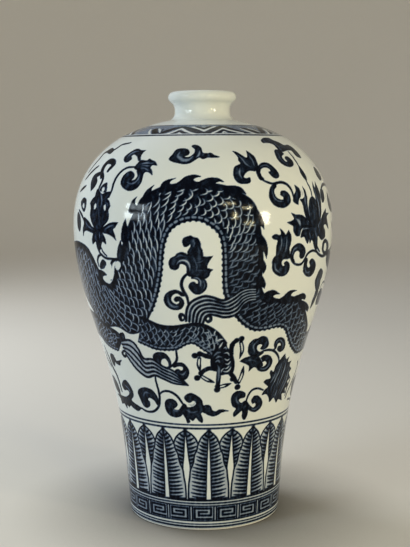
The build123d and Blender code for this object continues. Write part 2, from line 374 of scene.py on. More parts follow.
# Leaves, curls and flowers that show in the photograph, as outlines in its frame
LEAF_PIXELS = {
    "cloud_comma": [
        (169, 159), (173, 154), (176, 150), (181, 148.5), (187, 149), (189.5, 152), (188, 155),
        (184, 156.5), (189, 157), (194, 153.5), (195, 149.5), (192, 146.5), (193.5, 145), (197.5, 145.3),
        (201, 148), (202.5, 152.5), (206, 153.3), (211, 153), (214, 155), (219.5, 157), (214, 157.5),
        (208, 157.5), (203, 159), (199.5, 157.5), (195, 160), (190, 163), (184, 164), (178, 163),
        (173, 161.8),
    ],
    "far_left_bud": [(107.5, 151), (110, 149), (113, 148), (113.5, 151), (110.5, 153.8), (108, 153)],
    "upper_hook": [
        (124, 160), (125.5, 156), (130, 152.5), (135, 149.5), (138.5, 148.8), (141.5, 150.3),
        (146, 150.3), (146, 150.3), (143, 153), (141, 156.5), (140.5, 160), (138.5, 160.5),
        (137.5, 156.5), (134.5, 154.5), (131.5, 156.5), (131.8, 158.8), (129, 161.5), (126, 162.3),
    ],
    "star_leaf": [
        (138, 163), (141, 160.3), (147, 160.5), (149.5, 158.8), (152, 160.3), (155, 161.5),
        (157.3, 165.5), (157.3, 165.5), (153, 165), (150.5, 167.5), (152, 171), (152.5, 175.2),
        (152.5, 175.2), (148.5, 172), (145, 172.3), (142.5, 176), (141, 178), (138.5, 176), (138.5, 171),
        (134.5, 168),
    ],
    "big_comma": [
        (121, 184), (122.5, 177.5), (126.5, 172.8), (131, 171.2), (134.3, 174), (134, 177.5),
        (131.5, 180.3), (135, 179.5), (137.8, 175.5), (137, 170.5), (139, 168), (142, 171), (143, 176),
        (141, 183), (136.5, 188.5), (130, 190.8), (124.5, 188.8),
    ],
    "teardrop": [
        (91, 191), (91, 191), (91, 184), (92.5, 178), (95.5, 174), (100, 172), (102, 173.5), (99, 176),
        (97, 177.5), (97.5, 180.5), (96.5, 184), (94, 188),
    ],
    "lotus_sepal": [(100, 190.5), (101.5, 186.5), (104, 184), (107.2, 182.8), (107.3, 186), (106, 192)],
    "lotus_crown": [
        (97, 190), (98.5, 189.5), (102, 194), (106, 192.3), (111, 192), (110, 196), (107.5, 199),
        (109.5, 201.5), (110.2, 206), (108.5, 210), (109, 216), (107.5, 221.5), (103.5, 226),
        (101.5, 230), (98, 231), (94, 227), (91.5, 221), (90.3, 214.5), (91, 208), (90.5, 203),
        (92.5, 199), (95, 196.5), (96, 193),
    ],
    "lotus_left_leaf": [
        (84, 217.5), (87, 219.5), (90, 223), (92, 226.5), (97, 230), (94, 233), (90.5, 232), (87, 230.5),
        (84.5, 231.5), (83.6, 236), (83, 229), (84, 224),
    ],
    "lotus_right_leaf": [
        (101, 229), (105, 226), (109, 223.5), (113, 222.5), (118, 222.6), (118, 222.6), (115, 227.5),
        (113, 229.5), (114.5, 234), (116.2, 240.5), (116.2, 240.5), (112.5, 236.5), (108, 234),
        (104, 233), (101, 232),
    ],
    "lotus_petals": [
        (95, 230.5), (100, 229.5), (103, 234), (105.5, 239), (106, 244), (103, 241.5), (101.5, 244),
        (101, 248.5), (99.3, 250.5), (97, 246), (95.8, 241.5), (93, 244), (92.2, 239), (93, 234.5),
    ],
    "left_rim_bud": [
        (83.5, 198), (86.2, 199), (86.5, 204), (85, 211), (83.3, 211), (81.5, 206.5), (81.2, 202),
    ],
    "left_rim_leaf": [(78.2, 212), (80.5, 217), (81, 225), (80, 231.5), (78, 227), (77.3, 219)],
    "neck_curl": [
        (100, 266), (101, 261.5), (103.3, 259.5), (106, 262.5), (106.3, 267), (103.5, 270), (101, 269),
    ],
    "window_spray": [
        (182.5, 242), (183, 239), (185.3, 237.2), (190.5, 235.8), (193.3, 237.3), (197.5, 238.2),
        (200.4, 243), (200.6, 247), (202.5, 250.8), (203, 256.6), (203, 256.6), (207, 256.9),
        (212.8, 256.1), (212.8, 256.1), (209.8, 260.3), (207.4, 265), (207.1, 268.2), (207.1, 268.2),
        (213, 269.7), (213, 269.7), (210, 272.5), (209, 276), (204.3, 279.2), (198.5, 278.6),
        (193.5, 276.8), (188.3, 276), (187, 272.5), (186.9, 268.5), (185.2, 265), (181.2, 263.9),
        (179.4, 265.2), (178.5, 268.2), (175, 270), (170.8, 268.5), (169.1, 265), (169.1, 261.5),
        (170.8, 258.2), (175, 256), (177, 253.6), (180.8, 252.3), (185, 253), (187.4, 254.4),
        (187.6, 251.5), (190.4, 246.8), (190.4, 244), (187.3, 246.4), (184, 246.3),
    ],
    "window_right_comma": [
        (189.3, 288.5), (189.2, 284.5), (191.5, 282.3), (194.5, 282.1), (196.3, 283.8), (198.1, 283.3),
        (198.1, 280.9), (195.5, 279), (191.5, 278.4), (192.5, 276), (200, 276.4), (205, 279.5),
        (207, 285), (205.5, 290), (200.5, 293.9), (195, 294),
    ],
    "window_left_comma": [
        (164, 300), (165.5, 294.5), (170, 291), (176, 290), (182, 292.5), (185, 296), (181.5, 296),
        (177, 293.3), (172.5, 295.3), (171, 299.5), (173.5, 303), (177, 304.3), (179.5, 302.5),
        (178.5, 301), (176, 301.8), (174, 299.5), (176, 296.8), (180, 296.8), (183.5, 300.5),
        (184, 304.5), (181, 308.8), (176, 310), (170, 308.5), (166, 305),
    ],
    "spray_left_leaves": [
        (232.3, 151), (232.3, 151), (237, 152.3), (242.5, 155.8), (246.5, 157.8), (247.3, 155),
        (246, 150.6), (246, 150.6), (250.5, 153.5), (254.5, 157), (257, 163), (258, 168), (255, 171),
        (250, 170.5), (246, 172.5), (243.5, 176.5), (246, 178.5), (249.5, 177.5), (250.5, 180.5),
        (249, 183), (243, 183.8), (238, 182.5), (234.5, 178.5), (233.3, 173.5), (234.5, 167), (238, 165),
        (240.5, 163.5), (238.5, 160.5), (237.5, 156.5),
    ],
    "spray_right_curl": [
        (256, 170), (259.5, 164.5), (263.5, 162.5), (268.5, 163.5), (274.5, 168.3), (278.7, 174),
        (278.4, 177.3), (275, 178.2), (271, 175.5), (268.5, 172.2), (270.5, 171), (268.8, 168.6),
        (265, 167.2), (261.3, 168.6), (260, 172), (261.5, 176), (264, 179.2), (261, 180.3), (258, 176.8),
    ],
    "wave_comma": [
        (269, 195), (270.5, 187), (275, 183.5), (276.3, 186.5), (274, 190), (275, 195.5), (278.5, 199),
        (283, 199.8), (283, 196.8), (280.3, 194.5), (281, 191.3), (284.5, 190.8), (288.5, 193.8),
        (290.4, 199), (289.5, 203.7), (285, 207.3), (280, 207.5), (274.5, 205.2), (270.5, 200.5),
    ],
    "right_star": [
        (293, 200.5), (293.8, 195), (295.7, 190.5), (294.3, 185), (294.3, 185), (298, 187.5), (300, 191),
        (300.6, 196), (298.7, 199.5), (298.3, 204.7), (298.3, 204.7), (295, 203),
    ],
    "right_long_petal": [
        (302, 186.3), (302, 186.3), (305, 190.5), (306.8, 197), (307.5, 205), (309, 212), (310.5, 222),
        (306.5, 219), (304, 211.5), (302.5, 204), (300, 199.5), (302.5, 199), (304.3, 196), (303.7, 191),
    ],
    "right_bud": [
        (308.6, 206), (309.3, 200), (312, 196.5), (315.5, 200), (317.5, 206), (319, 214), (319.5, 222),
        (317, 228), (313, 231), (310, 226), (308.5, 218), (308, 211),
    ],
    "right_upper_petals": [
        (312, 181.5), (312, 181.5), (314.7, 188), (314.8, 181.5), (314.8, 181.5), (317.8, 188.5),
        (320, 195), (321, 205), (321, 215), (319.5, 223), (317.3, 212), (316.5, 204), (315, 196),
        (313, 189),
    ],
    "right_thin_petal": [(320.3, 189), (323, 191), (324.2, 199), (322.6, 202.5), (320.7, 197)],
    "right_side_leaf": [
        (325.7, 208.5), (325.7, 208.5), (326, 213), (328.3, 213.3), (326.6, 217), (328.3, 228.5),
        (325.5, 224), (323.5, 226), (325, 231), (324.7, 237), (321, 239), (318.5, 232), (317.5, 226),
        (320.5, 220), (322.5, 214.5),
    ],
    "right_left_leaf": [
        (291.3, 213), (291.3, 213), (296, 214.8), (301, 215), (305, 217.5), (308.5, 222), (311.5, 226),
        (305, 226.5), (301, 230), (299.5, 235.5), (296, 235.7), (293.5, 231), (293, 226), (289.5, 224),
        (287, 222.3), (287, 222.3), (291.5, 221), (294, 219), (293, 216),
    ],
    "right_low_petals": [
        (301, 234), (303.5, 228), (307.5, 226), (312, 225.5), (318, 227), (322, 231), (325, 236),
        (321.5, 239.8), (318, 235.5), (317.3, 241), (316.8, 249), (313.5, 243), (311.5, 239.5),
        (309.8, 243), (309, 239), (307.7, 243.5), (305.5, 240), (304, 236.5), (301, 237.5),
    ],
    "right_rim_leaf": [(313.5, 167), (317, 170), (321, 177), (320.3, 180.3), (316.5, 175.5)],
    "right_rim_blade": [(326.8, 192), (329, 199), (331.3, 207), (331, 212), (328.6, 206.5), (327.2, 199)],
    "right_rim_bud": [
        (321.9, 250), (322.5, 243), (325, 239), (327.9, 242), (328.2, 248), (326.5, 253.5), (323.5, 254),
    ],
    "top_right_hook": [
        (261, 140.3), (263.5, 138), (268.5, 138), (273, 140.2), (279, 142.5), (284, 145.3), (288, 145),
        (293, 148), (298, 153), (300.8, 157.5), (299, 157.5), (295.8, 155.8), (293, 152.5),
        (290.5, 150.3), (286, 150.5), (282, 151.8), (277.5, 149), (273.5, 144.8), (269, 143),
        (265.5, 142.8), (262.5, 142.7),
    ],
    "top_right_comma": [
        (274.3, 151), (277.5, 149.5), (281.5, 151.8), (283.5, 153.8), (281.6, 156), (283, 159),
        (285.5, 161.5), (287.3, 161.5), (285, 158.5), (285.5, 156.4), (289, 157.5), (292.5, 161.3),
        (293.4, 164.6), (291, 166.7), (287, 166.4), (281.5, 163.5), (277, 158.5),
    ],
    "top_right_stem_leaf": [
        (298.3, 165.5), (302, 169.8), (305.5, 175.5), (306.7, 180.3), (304, 178.5), (300.5, 173),
    ],
    "trefoil": [
        (272, 236.5), (275.5, 234.2), (279.5, 235.3), (281, 233), (280, 228.6), (280, 228.6),
        (284, 232.5), (285.5, 235), (288.4, 230.2), (288.4, 230.2), (291, 236), (290.6, 243),
        (289.2, 250), (290, 257.5), (284, 259), (276.5, 258), (276, 252), (276.5, 246), (277.5, 240.5),
        (273.5, 239),
    ],
    "trefoil_left_comma": [
        (272, 266), (272.6, 260), (276, 255.5), (282, 256.5), (288, 257.6), (284, 258.8), (281.3, 262),
        (282.3, 266), (284.5, 265.3), (284, 263), (286.6, 261.3), (289.2, 264), (289.1, 269),
        (286.5, 274), (281.5, 276.3), (276.5, 274.6), (273, 271),
    ],
    "trefoil_top_comma": [
        (290.2, 258.5), (290.8, 250.5), (294.3, 245.5), (299, 243.3), (303.6, 246), (305.4, 251.5),
        (304, 256.6), (301.2, 258.5), (299.3, 256.5), (299.6, 252.5), (297.6, 250.6), (294.6, 252.6),
        (293.2, 257.5), (294.8, 262), (293.2, 262.3),
    ],
    "trefoil_right_comma": [
        (303, 269), (304, 263), (305.8, 258), (307.6, 259.5), (306.7, 265), (308.3, 268), (310.2, 265.6),
        (309.2, 261.6), (312, 258.8), (315, 261.8), (315.4, 267), (313.5, 272.6), (310, 276.5),
        (306, 275.7), (303.5, 272.7),
    ],
    "hanging_leaf": [
        (321, 268.7), (322.7, 271.5), (322, 276), (320.2, 281), (319.5, 286), (318, 290), (316, 290.3),
        (315, 286), (315, 281), (317, 275), (319, 270.5),
    ],
    "hanging_tip": [
        (316, 289.5), (318.2, 291), (316, 297), (313.5, 303), (309.7, 309.3), (309.7, 309.3),
        (311.5, 302), (314, 295.5),
    ],
    "hanging_side": [(321.5, 288.5), (320.5, 297), (318, 303), (315.5, 304.3), (316.5, 298), (319, 291)],
    "right_rim_long_leaf": [
        (327.5, 250), (330, 252), (329.6, 262), (327.5, 268.5), (326, 262), (326.3, 255),
    ],
    "low_ring": [
        (153, 357), (154.5, 353.5), (160, 352), (166, 354), (170.5, 360), (171.2, 366), (168, 369.5),
        (163, 368.5), (158, 365), (154.5, 361),
    ],
    "low_curl": [
        (173, 364.5), (178, 362.5), (183, 363.2), (187, 367), (189.2, 372), (187.5, 377.7), (183, 380.2),
        (178, 378.7), (175, 374.5), (175.2, 370.5), (178, 369), (181, 370.6), (183.2, 369.5),
        (182.5, 366.7), (178.5, 366.2), (174, 367.5),
    ],
    "low_left_comma": [
        (138, 392), (140.5, 388.3), (146, 387.6), (152.5, 390.3), (157, 396), (158.6, 402), (157.5, 405),
        (154.5, 400.5), (149.8, 397.5), (148, 399.5), (150, 402), (150.3, 405.5), (147.5, 407.6),
        (144, 405.8), (141, 400),
    ],
    "low_rim_comma": [
        (122.2, 385), (123.2, 381), (126, 380.3), (130, 385.3), (133, 391.3), (133.7, 396), (131.7, 400),
        (136, 404), (140.8, 407.5), (139, 410.8), (134.5, 408.7), (131, 405.2), (129.5, 407),
        (127.5, 404.7), (127.5, 408.2), (124.5, 403.2), (122.5, 403.2), (120.5, 397.5), (118, 393.8),
        (122, 395.3), (126, 396.8), (129.3, 394.5), (129, 391.3), (127, 389.7), (124.5, 389.7),
    ],
    "low_rim_blade": [
        (112.3, 375.5), (114, 376.5), (117.5, 383), (119.7, 389), (120.8, 395), (117, 389.7),
        (114.5, 383),
    ],
    "low_rim_star": [
        (110.3, 354.3), (113, 354.3), (115, 358), (117, 361), (121.7, 360), (120.5, 362.5),
        (120.2, 365.2), (117, 363.7), (115.2, 361.8), (115.2, 366.2), (112.5, 362.5),
    ],
    "low_left_cluster": [
        (165, 403), (167, 399.6), (171.5, 398.8), (176, 401.4), (177.5, 405.5), (174, 409), (178.5, 410),
        (181.5, 406.5), (184, 403.5), (187, 407), (184, 412), (181, 416), (175.5, 417.2), (169.5, 414.7),
        (166, 409.5),
    ],
    "low_cluster": [
        (184.3, 397.5), (187, 394.2), (191.5, 393.3), (197, 395.8), (201.7, 400), (203.2, 405.3),
        (207, 404.8), (210.5, 406.3), (212.3, 410.3), (216, 411.4), (219, 409.6), (223, 409.6),
        (228.8, 410.8), (228.8, 410.8), (222, 412.2), (218, 414.7), (213, 416.2), (208, 414.8),
        (203, 412.3), (201, 414), (202.7, 419), (202.3, 422.5), (199, 421), (196, 417.7), (193, 420.7),
        (189.5, 418.7), (190.2, 422), (187.5, 422.8), (186, 418.7), (183.5, 414.7), (181, 411),
        (184, 406.5), (189, 407.3), (194, 406.2), (196.2, 403.3), (193.5, 400.5), (190.3, 402.5),
        (187, 401.5),
    ],
    "right_curl": [
        (248, 351.5), (248.8, 345), (252.3, 340.3), (258, 338.3), (262, 336.3), (266.6, 337.3),
        (268.5, 342), (267.6, 346.6), (263.5, 349.4), (260.3, 348.6), (262.3, 345.3), (260.3, 343.8),
        (257, 346), (257, 350.3), (260.5, 352.3), (263.5, 352.5), (259, 356.2), (254.5, 357.2),
        (250, 355.5),
    ],
    "right_star_leaves": [
        (239.8, 361.3), (239.8, 361.3), (244, 358.2), (250, 356.3), (255, 354.5), (259.3, 357.5),
        (262, 362.5), (262.5, 366), (258, 367.7), (253.5, 367.2), (248.7, 371.2), (248.7, 371.2),
        (249, 366.2), (246, 363.9),
    ],
    "right_ring_comma": [
        (261, 357.4), (265, 355), (269.6, 355.8), (272.2, 360), (271.2, 365), (267, 370.2), (262, 371.5),
        (257.5, 369.7), (256.3, 366), (260, 367.3), (264, 366.3), (266.7, 363), (265, 360.8),
        (262.3, 361.8), (261.8, 360),
    ],
    "right_small_comma": [
        (274, 345.3), (275.4, 340.3), (280, 337.3), (284.1, 339.3), (285.2, 344.5), (283.6, 349.2),
        (280, 351.7), (277.2, 349.7), (278, 346.3), (280.8, 345.3), (280, 342.7), (277.5, 343.8),
        (276, 348.5), (274.8, 348.5),
    ],
    "feather_flower": [
        (285, 353.7), (285, 353.7), (285.9, 359), (289.2, 356.8), (289.2, 356.8), (287.7, 362),
        (291.2, 360.8), (291.2, 360.8), (289.4, 365.5), (291.0, 368.7), (291.0, 368.7), (288.8, 373),
        (290.0, 377.8), (290.0, 377.8), (287.2, 381), (287.8, 385.8), (287.8, 385.8), (284.8, 388.3),
        (285.0, 392.6), (285.0, 392.6), (281.6, 393.6), (281.5, 400), (281.5, 400), (278, 399),
        (276, 402.3), (273.7, 397.5), (271.5, 399.5), (269, 401.8), (268.6, 397.5), (266, 393.8),
        (261.8, 394.8), (264.5, 390), (268, 386.5), (263.7, 382.3), (266, 379.8), (270.5, 378),
        (269.8, 373), (270.8, 370.3), (273.5, 372), (275, 367), (278, 362.5), (281.5, 358),
    ],
    "foot_left_leaf": [
        (231, 400), (232.5, 394.5), (237, 391.2), (242, 391.3), (245.2, 393.5), (244.5, 397.2),
        (240.5, 398.2), (238.5, 400.5), (241, 403), (245.5, 400.5), (247, 404), (243, 409), (239, 412.7),
        (234, 416.7), (233.3, 413), (236, 408.5), (232.5, 406),
    ],
    "foot_low_leaf": [
        (244, 403.5), (247.5, 404.5), (247.8, 411), (246.2, 417), (244, 419.7), (241.9, 417),
        (242.3, 412), (241.5, 409),
    ],
    "foot_right_comma": [
        (246, 400.5), (249.5, 405.3), (253, 407.7), (255.7, 404.5), (254.3, 402.6), (252.5, 403.6),
        (251.3, 400.5), (253.5, 396.3), (257.5, 395.6), (261.1, 399), (262, 403.5), (259.6, 408.6),
        (255, 411.7), (250, 410.7), (246.3, 407.2),
    ],
    "elbow_left_curl": [
        (178.5, 315.5), (180.5, 313), (183.8, 314), (185.3, 317.3), (184, 320.7), (181, 321.2),
        (179.2, 319),
    ],
    "elbow_right_curl": [
        (204.8, 319), (206.4, 315.6), (210, 314.6), (212.3, 317.5), (211.6, 321.2), (208.5, 322.9),
        (206, 321.7),
    ],
    "leg_left_curl": [(118.8, 336.5), (120, 333.3), (123, 332.7), (125, 336), (124.6, 340.5), (121, 341)],
    "leg_low_curl": [
        (121.8, 352.3), (123.8, 349.8), (126.6, 351.3), (127.6, 354.6), (125.6, 357.6), (122.8, 355.4),
    ],
}

# Bare places left inside them
BARE_PIXELS = {
    "low_ring_eye": [
        (161, 363), (162, 359.7), (165, 358.6), (167.8, 361.5), (168.7, 365.5), (166.5, 367.2),
        (163, 366),
    ],
    "sepal_eye": [(101.8, 191), (102.6, 188), (104.5, 186.8), (104.8, 189), (103.4, 191.8)],
    "crown_left_eye": [(94.3, 209.5), (94.2, 206), (95.6, 203), (96.6, 204.5), (96, 208)],
    "crown_right_eye": [(103.7, 206), (105.5, 204.4), (106, 206), (105.6, 210.6), (104.2, 210)],
    "rim_bud_eye": [(82.6, 206), (84, 202.6), (84.6, 205.5), (83.8, 208.6)],
    "elbow_right_eye": [(206.6, 319), (208, 317.2), (209.4, 318.3), (208, 320.2)],
    "elbow_left_eye": [(182.2, 316.4), (183.6, 316.8), (183.4, 318.8), (182.2, 318.8)],
    "leg_low_eye": [(124, 352.3), (125.7, 352.6), (125.4, 354.8), (124, 354.3)],
    "right_rim_bud_eye": [(323.6, 250), (324.2, 244), (325.6, 242.6), (326.3, 246), (325.4, 251)],
}

# Stems and thin strokes: width in millimetres, then the line
STEM_PIXELS = {
    "far_left_stem": (
        3.6,
        [
            (89, 172), (96, 163), (100, 158.5), (104, 153.5), (109, 151), (113, 150.5), (118, 147.5),
            (122, 144.8), (126, 143.8), (130.5, 142.8),
        ],
    ),
    "far_left_second": (3.6, [(86, 179), (90, 174), (95, 169), (98.5, 166.3)]),
    "far_left_third": (3.4, [(80.5, 191), (83, 188.5), (86, 186)]),
    "left_hook": (
        6.4,
        [
            (101.5, 177), (102.5, 170), (105.5, 164.5), (109.5, 161.3), (113, 161.8), (113.7, 164.5),
            (111, 167.5), (108.3, 170.5),
        ],
    ),
    "left_hook_stem": (3, [(102.8, 172), (103.3, 177), (102, 182), (99.3, 188), (98.3, 192)]),
    "comma_stem": (
        2.6,
        [
            (109, 197), (112, 190), (113.5, 184), (116, 178.5), (119.5, 173.5), (124, 169.5),
            (129, 167.3), (136, 167),
        ],
    ),
    "lotus_stem": (
        2.2, [(96.5, 243), (98.5, 249.5), (101.5, 254.5), (106, 258), (112, 258.8), (120, 259.3)],
    ),
    "lotus_stem_twin": (1.5, [(101, 247), (103.3, 252), (107, 256)]),
    "neck_curl_stem": (2.4, [(102, 254.5), (98.8, 256), (97.8, 261), (99, 266)]),
    "left_rim_stem": (2.6, [(79.3, 210), (82, 215), (84, 220)]),
    "window_stem": (
        2.8,
        [(188.5, 304), (187, 297), (183.5, 291), (181.5, 285.5), (182.5, 279.5), (186, 275), (191, 272)],
    ),
    "spray_stem": (2, [(260, 178), (263, 180.2), (267.5, 182.3), (272.5, 183.6), (277, 182.3)]),
    "wave_stem": (
        2.6, [(273, 186), (276.5, 183.2), (281.5, 182.3), (287, 184.6), (291, 189.7), (293.5, 197)],
    ),
    "top_right_stem": (1.9, [(288, 151.5), (292, 156), (296, 161.5), (299, 166.5)]),
    "top_right_stem_end": (1.8, [(305.5, 179.5), (308, 184.5), (310.5, 190), (312, 196.5)]),
    "right_rim_hook": (2.6, [(321, 188), (322.5, 184.8), (325, 184.5), (328, 190)]),
    "right_rim_line": (
        2.8,
        [
            (331, 222), (332.4, 232), (331.8, 243), (329.5, 249.5), (326, 254), (322, 256), (318, 253.6),
            (315, 248), (313.5, 243),
        ],
    ),
    "right_stem_twin": (1.9, [(316.5, 244), (317.5, 248), (319.5, 251.5)]),
    "trefoil_stem": (
        2.3,
        [
            (290.8, 256), (292, 261), (296, 264.4), (301, 264), (304.5, 259.3), (307.5, 253.7),
            (312, 250.7), (316, 251.5), (319, 254.5),
        ],
    ),
    "hanging_stem": (1.6, [(319.3, 291), (321, 285.5), (323.5, 281.6), (325.6, 283)]),
    "right_rim_low": (2.4, [(325.3, 282), (324, 290), (321.5, 299)]),
    "low_stem": (2.3, [(176, 348.5), (176.5, 353), (177, 359), (175, 363), (170.5, 366.7), (165, 369.3)]),
    "low_left_stem": (
        2.3,
        [
            (155, 373), (156, 381), (158, 388), (159.6, 396), (159.6, 403), (157.5, 408.5), (153, 411.5),
            (147, 411.2), (142, 408.3), (138, 407),
        ],
    ),
    "low_middle_stem": (
        2.3,
        [(159.5, 394.5), (162.5, 391.8), (167, 391), (172, 392.5), (177, 396), (181, 401), (185, 407)],
    ),
    "low_rim_stem": (
        3.6, [(104.5, 346), (107, 352), (109.5, 358), (113, 367), (116.5, 374), (119.5, 382), (122, 391)],
    ),
    "low_rim_twin": (3.4, [(105.5, 352), (108, 359), (111.5, 366)]),
    "right_spray_stem": (
        2.2, [(257, 356), (261, 352), (267, 350), (273, 350.5), (277, 354), (278.7, 359), (278, 364)],
    ),
    "right_small_stem": (2, [(272.5, 350.3), (275.5, 348.5)]),
    "foot_stem": (2.1, [(263, 390), (258, 388.3), (253, 389.5), (249.5, 393), (247, 398), (246, 402)]),
    "low_right_rim": (
        2.4, [(297.6, 361), (297, 366), (294.5, 374), (291, 383), (287.5, 391), (285, 398)],
    ),
    "low_right_rim_twin": (2.2, [(290, 379), (286.8, 387), (284.8, 395)]),
}

